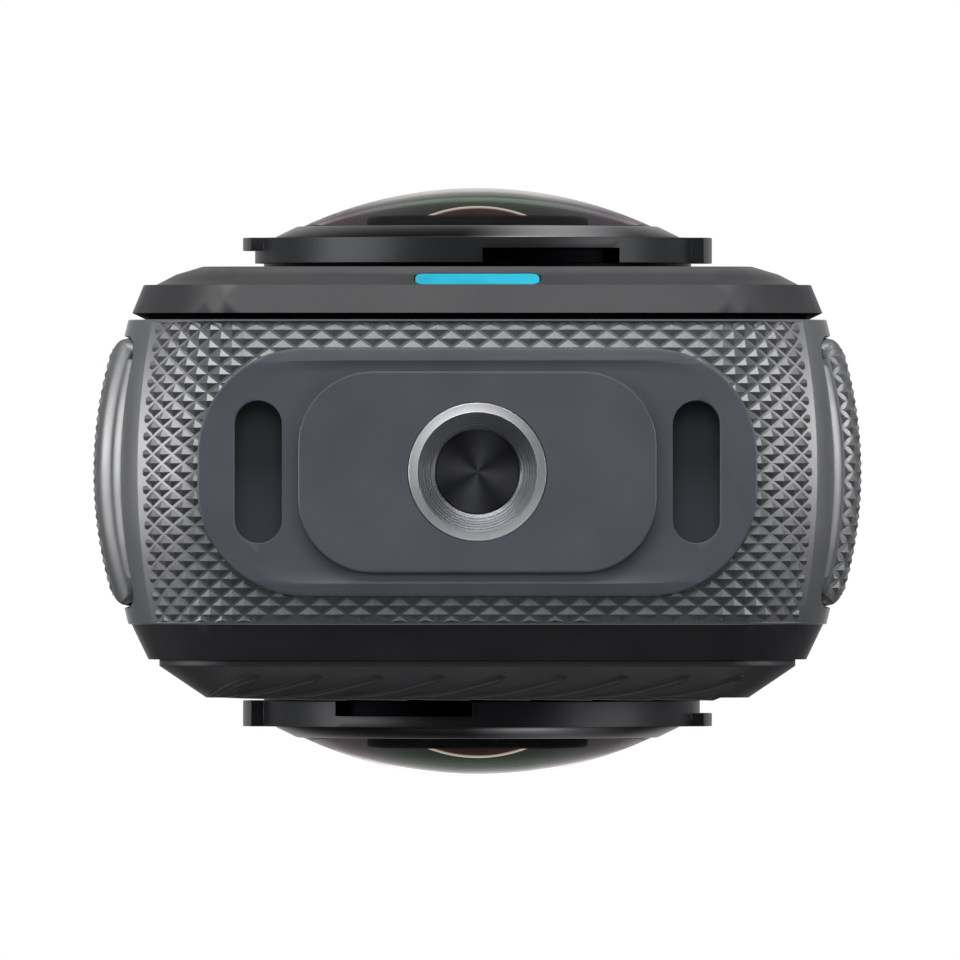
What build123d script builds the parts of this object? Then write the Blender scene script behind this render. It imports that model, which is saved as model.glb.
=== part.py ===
from build123d import *
import os

# 360 degree camera, in millimetres, standing on its base
# +Z is up, -Y is the screen side, +X is the side with the USB door and the buttons
# The origin is on the tripod thread's axis, at the face of the base plate

# Body outline, seen from the front
body_height = 124.5
body_half_width = 22.0
foot_corner = 8.0
head_corner = 17.0

# Grip band round the sides, with a crowned outer face
band_half_depth = 9.1
band_crown = 1.15
band_wall = 2.4

# Mid frame inside the band
frame_wall = 1.5
frame_half_depth = 8.7
foot_top = 9.2
shelf_thickness = 1.6
web_thickness = 1.6

# Lens axis below the top, and the plane midway between the two lenses
lens_drop = 23.5
mid_plane = 0.6
face_reach = 12.87

# Front cover, from the band's edge to its flat face
front_seam = 0.39
front_wall_inset = 1.38
front_ledge_inset = 2.07
front_ledge_end = 2.8
front_slope_mid = 4.0
front_face_inset = 5.6
front_ledge_drop = 1.1
front_slope_drop = 0.48
cover_wall = 1.4

# Rear cover and the ribbed panel on it
rear_seam = 0.01
rear_wall_inset = 1.35
rear_ledge_inset = 2.35
rear_ledge_drop = 2.28
panel_inset = 3.0
panel_step = 0.39
panel_face_inset = 5.8

# Gaskets between the covers and the mid frame
gasket_width = 1.6

# Base pad, raised plate and quick-release slots
pad_side_margin = 5.33
pad_half_depth = 7.4
pad_corner = 6.4
plate_slot_gap = 0.96
plate_half_depth = 6.01
plate_corner = 4.4
plate_rise = 0.58
slot_end_margin = 3.63
slot_width = 2.8
slot_length = 8.45
slot_depth = 3.0
slot_wall = 0.8

# Tripod bushing
bushing_rim_radius = 4.18
bushing_rim_thickness = 0.7
bushing_body_radius = 3.85
bushing_length = 7.6
thread_bore_radius = 2.55
thread_depth = 6.2
countersink_radius = 3.55
countersink_depth = 0.45

# Magnets beside the thread
magnet_room_share = 0.3
magnet_thickness = 2.0

# Side covers, battery on -X and USB door on +X, both crowned alike
side_crown_proud = 0.96
side_crown_sag = 1.31
side_half_depth = 8.0
side_gap = 0.3
side_low = 5.0
side_corner = 1.2
side_edge_round = 0.45
side_inner_depth = 1.6

# Shelf over the battery, as a share of the body's height
shelf_share = 0.46265

# Battery, its bay and its latch
battery_cover_lap = 0.8
bay_half_depth = 6.5
bay_wall = 0.8
side_room = 12.9
battery_gap = 0.3
battery_round = 1.0
seal_thickness = 0.45
seal_width = 0.8
seal_margin = 0.5
contact_half_depth = 4.2
contact_low = 14.0
contact_high = 26.0
contact_length = 2.4
pin_radius = 0.4
pin_reach = 0.2
pin_count = 5
terminal_thickness = 0.2
latch_half_depth = 3.9
latch_length = 7.0
latch_travel = 2.5
latch_drop = 11.9
latch_gap = 0.15
latch_proud = -0.05
latch_thickness = 0.9

# USB door and its hinge, the door's top as a share of the body's height
door_share = 0.36787
door_nose = 1.66
door_knuckle_half = 5.1
hinge_gap = 0.25
hinge_relief = 0.3
ear_length = 1.7
ear_radius = 0.95
pin_hinge_radius = 0.5
pin_running_gap = 0.05
door_seal_half = 6.4
door_seal_low = 9.5
door_seal_drop = 5.3

# USB connector, memory card and their board
usb_below_card = 12.5
usb_long_half = 4.47
usb_short_half = 1.63
usb_shell = 0.3
usb_length = 7.2
usb_tongue_half = 3.35
usb_tongue_thickness = 0.7
usb_set_back = 0.15
card_below_door = 11.3
card_half_width = 5.5
card_thickness = 0.75
card_length = 12.0
card_proud = 0.25
card_gap = 0.15
card_travel = 0.6
socket_wall = 0.4
side_board_thickness = 0.8

# Button panel and side buttons
panel_door_gap = 3.7
panel_end_margin = 9.0
panel_half_depth = 5.2
panel_proud = 0.8
panel_sag = 0.5
panel_corner = 4.2
button_half_depth = 3.2
button_half_length = 5.0
button_pitch = 13.0
button_proud = 0.35
button_gap = 0.15
button_flange = 0.6
button_travel = 0.35
flange_thickness = 0.6
switch_radius = 1.5

# Screen
screen_side_margin = 6.4
screen_low = 27.0
screen_lens_gap = 18.0
screen_corner = 4.0
screen_thickness = 0.9
screen_gap = 0.1
screen_margin = 1.1
display_thickness = 1.4

# Front buttons and their board
front_button_height = 16.2
shutter_offset = -6.3
mode_offset = 6.3
shutter_radius = 4.8
mode_radius = 3.6
front_button_gap = 0.2
front_button_flange = 0.6
front_flange_thickness = 0.35
front_flange_gap = 0.12
front_button_travel = 0.4
front_board_half = 12.2
front_board_low = 4.6
front_board_high = 22.0
front_board_thickness = 0.8
dome_switch_radius = 1.6

# Light bar at the foot of the front cover
light_half_width = 3.7
light_low = 2.95
light_high = 4.2
light_corner = 0.55
light_reach = 1.6
light_gap = 0.1

# Lens modules, heights measured from the plane midway between the lenses
flange_radius = 13.3
ring_radius = 13.85
ring_bore = 11.15
ring_low = 13.6
ring_high = 15.19
lug_reach = 0.75
lug_half_width = 3.9
lug_hook_drop = 0.8
notch_from = 0.3
notch_to = 8.8
notch_depth = 0.95
notch_height = 0.9
bezel_foot_radius = 12.55
bezel_top_radius = 11.15
bezel_top = 15.9
dome_chord = 10.9
dome_sag = 2.4
dome_wall = 0.7
dome_seat = 14.6
dome_fit = 0.03
barrel_radius = 8.5
barrel_neck = 13.0
barrel_shoulder = 13.6
barrel_bore = 7.2
lens_hole_gap = 0.8
baffle_foot_radius = 8.4
baffle_foot_top = 15.5
baffle_radius = 6.85
baffle_top = 16.55
baffle_bore = 3.5
inner_lens_low = 15.2
inner_lens_rim = 16.5
inner_lens_top = 17.25
relay_low = 6.0
relay_high = 10.5
relay_thickness = 1.8
relay_bulge = 0.7
relay_fit = 0.02
sensor_board_half = 10.0
sensor_board_thickness = 1.0

# Main board and what is on it
main_board_gap = 0.3
main_board_drop = 17.0
main_board_thickness = 1.2
can_inner = 1.0
can_margin = 2.7
can_rise = 2.3
can_drop = 8.0
can_height = 2.0
can_corner = 0.6
spreader_margin = 5.7
spreader_rise = 2.8
spreader_drop = 2.0
spreader_thickness = 0.6
flex_half_width = 3.0
flex_thickness = 0.2
flex_rise = 2.0

# Screws that hold the rear cover to the mid frame
screw_foot_inset = 3.0
screw_foot_height = 6.4
screw_waist_inset = 2.8
screw_waist_rise = 3.0
screw_head_spread = 5.6
screw_head_drop = 8.7
screw_radius = 0.8
screw_head_radius = 1.5
screw_head_thickness = 0.7
screw_length = 5.0
boss_radius = 2.2

# Speaker and microphones
speaker_half_width = 6.5
speaker_drop = 17.0
speaker_height = 9.5
speaker_thickness = 4.4
speaker_hole_radius = 0.5
speaker_hole_pitch = 2.0
speaker_hole_count = 5
mic_half_width = 1.75
mic_half_height = 1.3
mic_thickness = 1.0
mic_hole_radius = 0.45
mic_mesh_radius = 0.95
mic_mesh_thickness = 0.2
mic_side_margin = 5.1
front_mic_drop = 14.8
rear_mic_drop = 17.0

# How far a cut runs past what it cuts
overrun = 3.0

# Heights and widths that follow from the sizes above
foot_x = body_half_width - foot_corner
head_x = body_half_width - head_corner
lens_height = body_height - lens_drop
shelf_low = body_height * shelf_share
door_top = body_height * door_share
foot_block_half = foot_x
pad_half_length = body_half_width - pad_side_margin
slot_offset = pad_half_length - slot_end_margin
plate_half_length = slot_offset - slot_width / 2 - plate_slot_gap
magnet_room = slot_offset - slot_width / 2 - slot_wall - bushing_body_radius
magnet_radius = magnet_room * magnet_room_share
magnet_offset = bushing_body_radius + magnet_room / 2
battery_cover_top = shelf_low + battery_cover_lap
latch_low = battery_cover_top - latch_drop
card_height = door_top - card_below_door
usb_height = card_height - usb_below_card
door_seal_high = door_top - door_seal_drop
panel_low = door_top + panel_door_gap
quick_height = panel_low + panel_end_margin
power_height = quick_height + button_pitch
panel_high = power_height + panel_end_margin
screen_half_width = body_half_width - screen_side_margin
screen_high = lens_height - screen_lens_gap
main_board_top = lens_height - main_board_drop
speaker_high = lens_height - speaker_drop
speaker_low = speaker_high - speaker_height
front_mic_height = lens_height - front_mic_drop
rear_mic_height = lens_height - rear_mic_drop
screw_head_height = body_height - screw_head_drop

# Planes and lengths that follow from the sizes above
frame_inset = band_wall + frame_wall
frame_outer_x = body_half_width - band_wall
frame_inner_x = body_half_width - frame_inset
front_face = mid_plane - face_reach
rear_face = mid_plane + face_reach
front_edge = -band_half_depth - front_seam
rear_edge = band_half_depth + rear_seam
rear_ledge = rear_face - rear_ledge_drop
front_inside = front_face + cover_wall
rear_inside = rear_ledge - cover_wall
web_front = mid_plane - web_thickness / 2
web_rear = mid_plane + web_thickness / 2
shelf_top = shelf_low + shelf_thickness
bay_end = frame_inner_x - side_room
mic_offset = frame_inner_x - mic_side_margin
screw_waist_height = shelf_top + screw_waist_rise
can_outer = frame_inner_x - can_margin
can_span = (shelf_top + can_rise, main_board_top - can_drop)
spreader_span = (shelf_top + spreader_rise, main_board_top - spreader_drop)
side_crown_x = body_half_width + side_crown_proud
side_inner_x = body_half_width - side_inner_depth
hinge_x = side_crown_x - door_nose
hinge_z = door_top - door_nose
bay_low = foot_top + bay_wall
bay_high = shelf_low - bay_wall
board_front = web_front - main_board_thickness
side_button_heights = (quick_height, power_height)


def block(x_span, y_span, z_span):
    """Box between pairs of limits."""
    middle = [(low + high) / 2 for low, high in (x_span, y_span, z_span)]
    sizes = [high - low for low, high in (x_span, y_span, z_span)]
    return Pos(*middle) * Box(*sizes)


def slab(face, y_span):
    """Solid between two depths, from a face that looks along Y."""
    near, far = y_span
    return Pos(0, near, 0) * extrude(face, amount=far - near, dir=(0, 1, 0))


def outline(inset):
    """The body's outline in front view, drawn in by an inset."""
    width = 2 * (body_half_width - inset)
    face = Plane.XZ * (Pos(0, body_height / 2) * Rectangle(width, body_height - 2 * inset))
    face = fillet(face.vertices().sort_by(Axis.Z)[:2], foot_corner - inset)
    return fillet(face.vertices().sort_by(Axis.Z)[-2:], head_corner - inset)


def around(section):
    """Carry a section of inset and depth round the body's outline."""
    left = -body_half_width
    right = body_half_width
    foot_z = foot_corner
    head_z = body_height - head_corner
    runs = [
        ((foot_x, 0, 0), (0, 0, 1), (-1, 0, 0), 2 * foot_x, (-foot_x, 0, foot_z)),
        ((left, 0, foot_z), (1, 0, 0), (0, 0, 1), head_z - foot_z, (-head_x, 0, head_z)),
        ((-head_x, 0, body_height), (0, 0, -1), (1, 0, 0), 2 * head_x, (head_x, 0, head_z)),
        ((right, 0, head_z), (-1, 0, 0), (0, 0, -1), head_z - foot_z, (foot_x, 0, foot_z)),
    ]
    pieces = []
    for start, inward, travel, length, centre in runs:
        pieces.append(extrude(Plane(start, inward, travel) * section, amount=length))
        end = Vector(start) + Vector(travel) * length
        turn = Axis(centre, (0, 1, 0))
        pieces.append(revolve(Plane(end, inward, travel) * section, turn, 90))
    return pieces[0].fuse(*pieces[1:])


def ring_of(points):
    """Ring round the body's outline, from section points of inset and depth."""
    return around(make_face(Polyline(*points, close=True)))


def prism_y(x_span, z_span, y_span, radius):
    """Rounded block that runs along Y."""
    centre = Pos(sum(x_span) / 2, sum(z_span) / 2)
    shape = RectangleRounded(x_span[1] - x_span[0], z_span[1] - z_span[0], radius)
    return slab(Plane.XZ * (centre * shape), y_span)


def prism_x(y_span, z_span, x_span, radius):
    """Rounded block that runs along X."""
    centre = Pos(sum(y_span) / 2, sum(z_span) / 2)
    shape = RectangleRounded(y_span[1] - y_span[0], z_span[1] - z_span[0], radius)
    near, far = x_span
    return Pos(near, 0, 0) * extrude(Plane.YZ * (centre * shape), amount=far - near, dir=(1, 0, 0))


def pill_x(height, long_half, short_half, x_span):
    """Upright pill shape that runs along X."""
    near, far = x_span
    shape = Pos(0, height) * SlotOverall(2 * long_half, 2 * short_half, 90)
    return Pos(near, 0, 0) * extrude(Plane.YZ * shape, amount=far - near, dir=(1, 0, 0))


def rod_y(x, z, radius, y_span):
    """Round rod along Y."""
    near, far = y_span
    return Pos(x, (near + far) / 2, z) * Rot(X=90) * Cylinder(radius, far - near)


def rod_x(y, z, radius, x_span):
    """Round rod along X."""
    near, far = x_span
    return Pos((near + far) / 2, y, z) * Rot(Y=90) * Cylinder(radius, far - near)


def rod_z(x, y, radius, z_span):
    """Round rod along Z."""
    low, high = z_span
    return Pos(x, y, (low + high) / 2) * Cylinder(radius, high - low)


def mirrored(span):
    """The same span on the other side of the middle."""
    return (-span[1], -span[0])


def both(half):
    """Span of a half size on both sides of the middle."""
    return (-half, half)


def grown(span, gap):
    """Span made longer by a gap at each end."""
    return (span[0] - gap, span[1] + gap)


def crowned(side, inner_x, crown_x, half_depth, sag, z_span):
    """Upright piece with a crowned outer face on one side of the body."""
    edge = side * (crown_x - sag)
    arc = ThreePointArc((edge, -half_depth), (side * crown_x, 0), (edge, half_depth))
    inner = side * inner_x
    back = Polyline((edge, half_depth), (inner, half_depth), (inner, -half_depth), (edge, -half_depth))
    low, high = z_span
    return Pos(0, 0, low) * extrude(make_face(arc + back), amount=high - low, dir=(0, 0, 1))


def side_span(side, inner, outer):
    """X limits on one side of the body, from the inner to the outer size."""
    return (inner, outer) if side > 0 else (-outer, -inner)


def side_cover(side, z_span):
    """Crowned side cover with rounded corners and softened outer edges."""
    piece = crowned(side, side_inner_x, side_crown_x, side_half_depth, side_crown_sag, z_span)
    reach = side_span(side, side_inner_x - overrun, side_crown_x + overrun)
    piece = piece & prism_x(both(side_half_depth), z_span, reach, side_corner)
    outer = piece.faces().sort_by(Axis.X)[-1 if side > 0 else 0]
    return fillet(outer.edges(), side_edge_round)


def side_window(side, z_span):
    """Cut through the band that clears a side cover."""
    reach = side_span(side, frame_outer_x, side_crown_x + overrun)
    hole = prism_x(both(side_half_depth + side_gap), grown(z_span, side_gap), reach, side_corner + side_gap)
    inner = side_span(side, body_half_width - foot_corner, frame_outer_x)
    foot = block(inner, both(side_half_depth + side_gap), (z_span[0] - side_gap, foot_corner))
    return hole + foot


battery_span = (side_low, battery_cover_top)
door_span = (side_low, door_top)
button_panel_span = (panel_low, panel_high)


# Grip band and base pad

def band_blank():
    """The whole crowned band, before its openings are cut."""
    crown = ThreePointArc((band_crown, -band_half_depth), (0, 0), (band_crown, band_half_depth))
    inside = Polyline((band_crown, band_half_depth), (band_wall, band_half_depth),
                      (band_wall, -band_half_depth), (band_crown, -band_half_depth))
    return around(make_face(crown + inside))


def pad_prism():
    """Upright prism of the base pad's outline."""
    shape = RectangleRounded(2 * pad_half_length, 2 * pad_half_depth, pad_corner)
    return Pos(0, 0, -overrun) * extrude(shape, amount=overrun + foot_corner)


def slot_shape(clearance, z_span):
    """Prisms of the two quick-release slots, grown by a clearance."""
    low, high = z_span
    slots = []
    for side in (-1, 1):
        shape = SlotOverall(slot_length + 2 * clearance, slot_width + 2 * clearance, 90)
        slots.append(Pos(side * slot_offset, 0, low) * extrude(shape, amount=high - low))
    return slots[0] + slots[1]


def slot_floor():
    """Height of the slots' floor."""
    return plate_rise + slot_depth


def grip_band(blank):
    """Rubber band with openings for the pad, the side covers and the button panel."""
    band = blank - pad_prism()
    band -= side_window(-1, battery_span)
    band -= side_window(1, door_span)
    reach = (frame_outer_x - overrun, side_crown_x + overrun)
    return band - prism_x(both(panel_half_depth), button_panel_span, reach, panel_corner)


def base_pad(blank):
    """Smooth foot piece with its raised plate, two slot cups and the bushing's hole."""
    pad = blank & pad_prism()
    recess = block(both(pad_half_length + overrun), both(pad_half_depth + overrun), (-overrun, plate_rise))
    plate_shape = RectangleRounded(2 * plate_half_length, 2 * plate_half_depth, plate_corner)
    pad = (pad - recess) + extrude(plate_shape, amount=band_wall)
    pad += slot_shape(slot_wall, (band_wall, slot_floor() + slot_wall))
    pad -= slot_shape(0, (-overrun, slot_floor()))
    pad -= rod_z(0, 0, bushing_body_radius, (-overrun, band_wall + overrun))
    return pad - rod_z(0, 0, bushing_rim_radius, (-overrun, bushing_rim_thickness))


def tripod_bushing():
    """Turned metal bushing with a blind bore for the tripod thread."""
    bushing = rod_z(0, 0, bushing_body_radius, (0, bushing_length))
    bushing += rod_z(0, 0, bushing_rim_radius, (0, bushing_rim_thickness))
    bushing -= rod_z(0, 0, thread_bore_radius, (-overrun, thread_depth))
    sink = Cone(countersink_radius, thread_bore_radius, countersink_depth)
    return bushing - Pos(0, 0, countersink_depth / 2) * sink


def magnet_spots(z_span):
    """Round prisms of the two magnets beside the thread."""
    spots = [rod_z(side * magnet_offset, 0, magnet_radius, z_span) for side in (-1, 1)]
    return spots[0] + spots[1]


def mount_magnets():
    """Magnets that pull a quick-release foot home."""
    return magnet_spots((band_wall, band_wall + magnet_thickness))


# Mid frame

def screw_places():
    """Middles of the six cover screws in front view."""
    rows = [(foot_block_half - screw_foot_inset, screw_foot_height),
            (frame_inner_x - screw_waist_inset, screw_waist_height),
            (head_x + screw_head_spread, screw_head_height)]
    return [(side * x, z) for x, z in rows for side in (-1, 1)]


def foot_room():
    """Space of the foot block between the frame's two legs."""
    return block(both(foot_block_half), both(frame_half_depth), (band_wall, foot_top))


def foot_block():
    """Metal block that holds the tripod bushing and the magnets."""
    foot = foot_room() - slot_shape(slot_wall, (0, slot_floor() + slot_wall))
    foot -= rod_z(0, 0, bushing_body_radius, (0, bushing_length))
    foot -= mount_magnets()
    for x, z in screw_places()[:2]:
        foot -= rod_y(x, z, screw_radius, screw_shank())
    return foot


def mid_frame():
    """Stiff frame with a ring, two legs, a shelf and a web between the lenses."""
    depth = both(frame_half_depth)
    frame = slab(outline(band_wall), depth)
    inner = both(frame_inner_x)
    frame -= block(inner, both(frame_half_depth + overrun), (foot_top, shelf_low))
    upper = slab(outline(frame_inset), both(frame_half_depth + overrun))
    upper &= block(both(body_half_width), both(band_half_depth + overrun), (shelf_top, body_height))
    web = block(both(body_half_width), (web_front, web_rear), (0, body_height))
    bosses = [rod_y(x, z, boss_radius, (web_rear, frame_half_depth)) for x, z in screw_places()[2:]]
    for solid in bosses:
        upper -= solid
    frame -= upper - web
    frame -= foot_room()
    frame -= slot_shape(slot_wall, (0, slot_floor() + slot_wall))
    frame -= block((-body_half_width, -frame_inner_x + overrun), both(bay_half_depth), (bay_low, bay_high))
    frame -= hinge_room()
    frame += hinge_ears()
    frame -= rod_y(hinge_x, hinge_z, pin_hinge_radius, both(hinge_pin_half()))
    wall = (frame_inner_x - overrun, frame_outer_x + overrun)
    frame -= usb_shape(0, wall)
    frame -= card_window(wall)
    for height in side_button_heights:
        frame -= rod_x(0, height, switch_radius, (frame_inner_x, frame_outer_x + overrun))
    for x, z in screw_places()[2:]:
        frame -= rod_y(x, z, screw_radius, screw_shank())
    return frame


def hinge_pin_half():
    """Half the length of the door's hinge pin."""
    return door_knuckle_half + hinge_gap + ear_length


def hinge_room():
    """Hollow in the frame's wall that the door's nose turns in."""
    room = rod_y(hinge_x, hinge_z, door_nose + hinge_relief, both(hinge_pin_half() + hinge_relief))
    return room & block((frame_inner_x, body_half_width), both(band_half_depth), (0, body_height))


def hinge_ears():
    """Two ears that hold the hinge pin, one piece with the frame."""
    ears = None
    inner = door_knuckle_half + hinge_gap
    for span in ((inner, inner + ear_length), mirrored((inner, inner + ear_length))):
        ear = rod_y(hinge_x, hinge_z, ear_radius, span)
        ear += block((frame_inner_x, hinge_x), span, (hinge_z - ear_radius, hinge_z + ear_radius))
        ears = ear if ears is None else ears + ear
    return ears


def screw_shank():
    """Depth limits of a cover screw below its head."""
    return (rear_ledge - screw_head_thickness - screw_length, rear_ledge - screw_head_thickness)


# Battery side

def battery_bay():
    """Moulded bay that the battery slides in, open to the side."""
    bay = block((-frame_inner_x, bay_end + bay_wall), both(bay_half_depth + bay_wall), (foot_top, shelf_low))
    bay -= block((-body_half_width, bay_end), both(bay_half_depth), (bay_low, bay_high))
    return bay - block((bay_end - bay_wall, bay_end + overrun), contact_depth(), (contact_low, contact_high))


def contact_depth():
    """Depth limits of the contact block, clear of the side board."""
    return (usb_short_half - socket_wall - 2 * contact_half_depth + bay_wall, usb_short_half - socket_wall)


def contact_rows():
    """Heights of the contact pins."""
    step = (contact_high - contact_low) / pin_count
    return [contact_low + step * (row + 0.5) for row in range(pin_count)]


def battery_contacts():
    """Spring contact block in the bay's end wall."""
    contacts = block((bay_end, bay_end + contact_length), contact_depth(), (contact_low, contact_high))
    middle = sum(contact_depth()) / 2
    for height in contact_rows():
        contacts += rod_x(middle, height, pin_radius, (bay_end - pin_reach, bay_end + pin_reach))
    return contacts


def battery_reach():
    """X limits of the battery inside its cover."""
    return (-side_inner_x, bay_end - battery_gap)


def terminal_blocks():
    """Flat terminals in the battery's end face."""
    end = battery_reach()[1]
    middle = sum(contact_depth()) / 2
    blocks = []
    for height in contact_rows():
        z_span = (height - 2 * pin_radius, height + 2 * pin_radius)
        y_span = (middle - contact_half_depth / 2, middle + contact_half_depth / 2)
        blocks.append(block((end - terminal_thickness, end), y_span, z_span))
    return blocks


def battery_pack():
    """Battery case, a rounded block behind its cover."""
    z_span = (bay_low + battery_gap, bay_high - battery_gap)
    pack = prism_x(both(bay_half_depth - battery_gap), z_span, battery_reach(), battery_round)
    for solid in terminal_blocks():
        pack -= solid
    return pack


def battery_terminals():
    """The battery's terminals as a group."""
    return Compound(children=terminal_blocks())


def latch_room():
    """Recess in the battery cover that the latch slides in."""
    z_span = (latch_low - latch_gap, latch_low + latch_length + latch_travel + latch_gap)
    floor = side_crown_x + latch_proud - latch_thickness - latch_gap
    y_span = both(latch_half_depth + latch_gap)
    return prism_x(y_span, z_span, (-side_crown_x - overrun, -floor), side_corner)


def battery_cover():
    """Textured cover on the battery's end, crowned across its width."""
    return side_cover(-1, battery_span) - latch_room()


def battery_latch():
    """Thumb slide that frees the battery."""
    crown_x = side_crown_x + latch_proud
    z_span = (latch_low, latch_low + latch_length)
    sag = side_crown_sag * (latch_half_depth / side_half_depth) ** 2
    latch = crowned(-1, crown_x - latch_thickness, crown_x, latch_half_depth, sag, z_span)
    return latch & prism_x(both(latch_half_depth), z_span, (-crown_x - overrun, 0), side_corner)


def battery_seal():
    """Rubber seal behind the battery cover, round the bay's mouth."""
    z_span = (bay_low - seal_margin, bay_high + seal_margin)
    x_span = (-side_inner_x, -side_inner_x + seal_thickness)
    y_half = bay_half_depth + seal_margin
    seal = prism_x(both(y_half), z_span, x_span, battery_round)
    hole = prism_x(both(y_half - seal_width), grown(z_span, -seal_width), grown(x_span, overrun), battery_round / 2)
    return seal - hole


# Front cover, screen and front buttons

def plate_inset():
    """Inset at which the front cover's sloped rim meets its flat plate."""
    return (foot_corner + front_face_inset) / 2


def front_blank():
    """Front cover with its slanted wall, ledge and domed slope, before its openings."""
    ledge = front_face + front_ledge_drop
    slope = front_face + front_slope_drop
    inner = front_ledge_end + (front_slope_mid - front_ledge_end) / 2
    wall_top = ledge + cover_wall / 2
    rim = ring_of([(front_wall_inset, front_edge), (front_ledge_inset, ledge), (front_ledge_end, ledge),
                   (front_slope_mid, slope), (front_face_inset, front_face), (plate_inset(), front_face),
                   (plate_inset(), front_inside), (front_face_inset, front_inside), (inner, wall_top),
                   (inner, front_edge)])
    return rim + slab(outline(plate_inset()), (front_face, front_inside))


def light_span(gap):
    """X and Z limits of the light bar, grown by a gap."""
    return grown(both(light_half_width), gap), grown((light_low, light_high), gap)


def light_prism(gap):
    """Upright pill of the light bar, grown by a gap."""
    x_span, z_span = light_span(gap)
    return prism_y(x_span, z_span, (front_face - overrun, front_face + front_ledge_drop + light_reach),
                   light_corner + gap / 2)


def screen_prism(gap, y_span):
    """Rounded screen shape, grown by a gap."""
    x_span = grown(both(screen_half_width), gap)
    return prism_y(x_span, grown((screen_low, screen_high), gap), y_span, screen_corner + gap)


def front_button_places():
    """Middles and radii of the two front buttons."""
    return {"shutter_button": (shutter_offset, shutter_radius), "mode_button": (mode_offset, mode_radius)}


def mic_places():
    """Microphones as X, Z, outer face and the depth of their inner face."""
    return [(-mic_offset, front_mic_height, front_face, front_inside, 1),
            (mic_offset, front_mic_height, front_face, front_inside, 1),
            (mic_offset, rear_mic_height, rear_face, rear_inside, -1)]


def mic_cuts():
    """Holes of the microphones through the covers."""
    cuts = []
    for x, z, outer, inner, inward in mic_places():
        cuts.append(rod_y(x, z, mic_hole_radius, tuple(sorted((outer - inward * overrun, inner)))))
        cuts.append(rod_y(x, z, mic_mesh_radius,
                          tuple(sorted((outer - inward * overrun, outer + inward * mic_mesh_thickness)))))
    return cuts


def front_cover(blank):
    """Front cover with its openings for the lens, screen, buttons and light bar."""
    through = (front_face - overrun, front_inside + overrun)
    cover = blank - rod_y(0, lens_height, barrel_radius + lens_hole_gap, through)
    cover -= screen_prism(screen_gap, (front_face - overrun, front_face + screen_thickness))
    cover -= screen_prism(-screen_margin, through)
    for x, radius in front_button_places().values():
        cover -= rod_y(x, front_button_height, radius + front_button_gap, through)
    cover -= light_prism(light_gap)
    for cut in mic_cuts():
        cover -= cut
    return cover


def light_bar():
    """Clear light bar, flush with the cover's slope."""
    x_span, z_span = light_span(0)
    y_span = (front_face - overrun, front_face + front_ledge_drop + light_reach)
    return prism_y(x_span, z_span, y_span, light_corner) & solid_front()


def solid_front():
    """Everything inside the front cover's outer form."""
    ledge = front_face + front_ledge_drop
    slope = front_face + front_slope_drop
    rim = ring_of([(front_ledge_inset, front_edge), (front_ledge_inset, ledge), (front_ledge_end, ledge),
                   (front_slope_mid, slope), (front_face_inset, front_face), (plate_inset(), front_face),
                   (plate_inset(), front_edge)])
    return rim + slab(outline(plate_inset()), (front_face, front_edge))


def screen_glass():
    """Cover glass of the touch screen."""
    return screen_prism(0, (front_face, front_face + screen_thickness))


def display_panel():
    """Display behind the glass."""
    back = front_face + screen_thickness
    return screen_prism(-screen_margin - screen_gap, (back, back + display_thickness))


def front_button(name):
    """Round button with a flange behind the cover."""
    x, radius = front_button_places()[name]
    back = front_inside + front_flange_gap
    button = rod_y(x, front_button_height, radius, (front_face, back))
    flange = (back, back + front_flange_thickness)
    return button + rod_y(x, front_button_height, radius + front_button_flange, flange)


def front_switch_board():
    """Board with a dome switch under each front button and the lamp under the light bar."""
    board_y = (-frame_half_depth - front_board_thickness, -frame_half_depth)
    board = block(both(front_board_half), board_y, (front_board_low, front_board_high))
    for x, radius in front_button_places().values():
        flange_back = front_inside + front_flange_gap + front_flange_thickness
        dome = (flange_back + front_button_travel + screen_gap, board_y[0] + screen_gap)
        board += rod_y(x, front_button_height, dome_switch_radius, dome)
    return board


def gasket(y_span):
    """Rubber gasket on one edge of the mid frame."""
    low, high = y_span
    outer = band_wall
    inner = band_wall + gasket_width
    return ring_of([(outer, low), (inner, low), (inner, high), (outer, high)])


# Rear cover and its grip panel

def rear_plate_inset():
    """Inset at which the rear rim meets its flat plate."""
    return (foot_corner + panel_face_inset) / 2


def speaker_cuts():
    """Row of sound holes over the speaker."""
    middle = (speaker_low + speaker_high) / 2
    cuts = []
    for index in range(speaker_hole_count):
        x = (index - (speaker_hole_count - 1) / 2) * speaker_hole_pitch
        cuts.append(rod_y(x, middle, speaker_hole_radius, (rear_inside - overrun, rear_face + overrun)))
    return cuts


def rear_cuts():
    """Holes for the lens, the speaker and the microphone in the rear cover and its panel."""
    through = (rear_inside - overrun, rear_face + overrun)
    return [rod_y(0, lens_height, barrel_radius + lens_hole_gap, through)] + speaker_cuts() + mic_cuts()


def rear_cover():
    """Rear cover with a slanted wall and screw holes under the panel."""
    inner = front_ledge_end + (front_slope_mid - front_ledge_end) / 2
    rim = ring_of([(rear_wall_inset, rear_edge), (rear_ledge_inset, rear_ledge), (rear_plate_inset(), rear_ledge),
                   (rear_plate_inset(), rear_inside), (inner, rear_inside), (inner, rear_edge)])
    cover = rim + slab(outline(rear_plate_inset()), (rear_inside, rear_ledge))
    for x, z in screw_places():
        cover += rod_y(x, z, boss_radius, (frame_half_depth, rear_inside))
    for x, z in screw_places():
        cover -= rod_y(x, z, screw_radius, (frame_half_depth - overrun, rear_ledge))
        cover -= rod_y(x, z, screw_head_radius, (rear_ledge - screw_head_thickness, rear_ledge + overrun))
    for cut in rear_cuts():
        cover -= cut
    return cover


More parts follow.
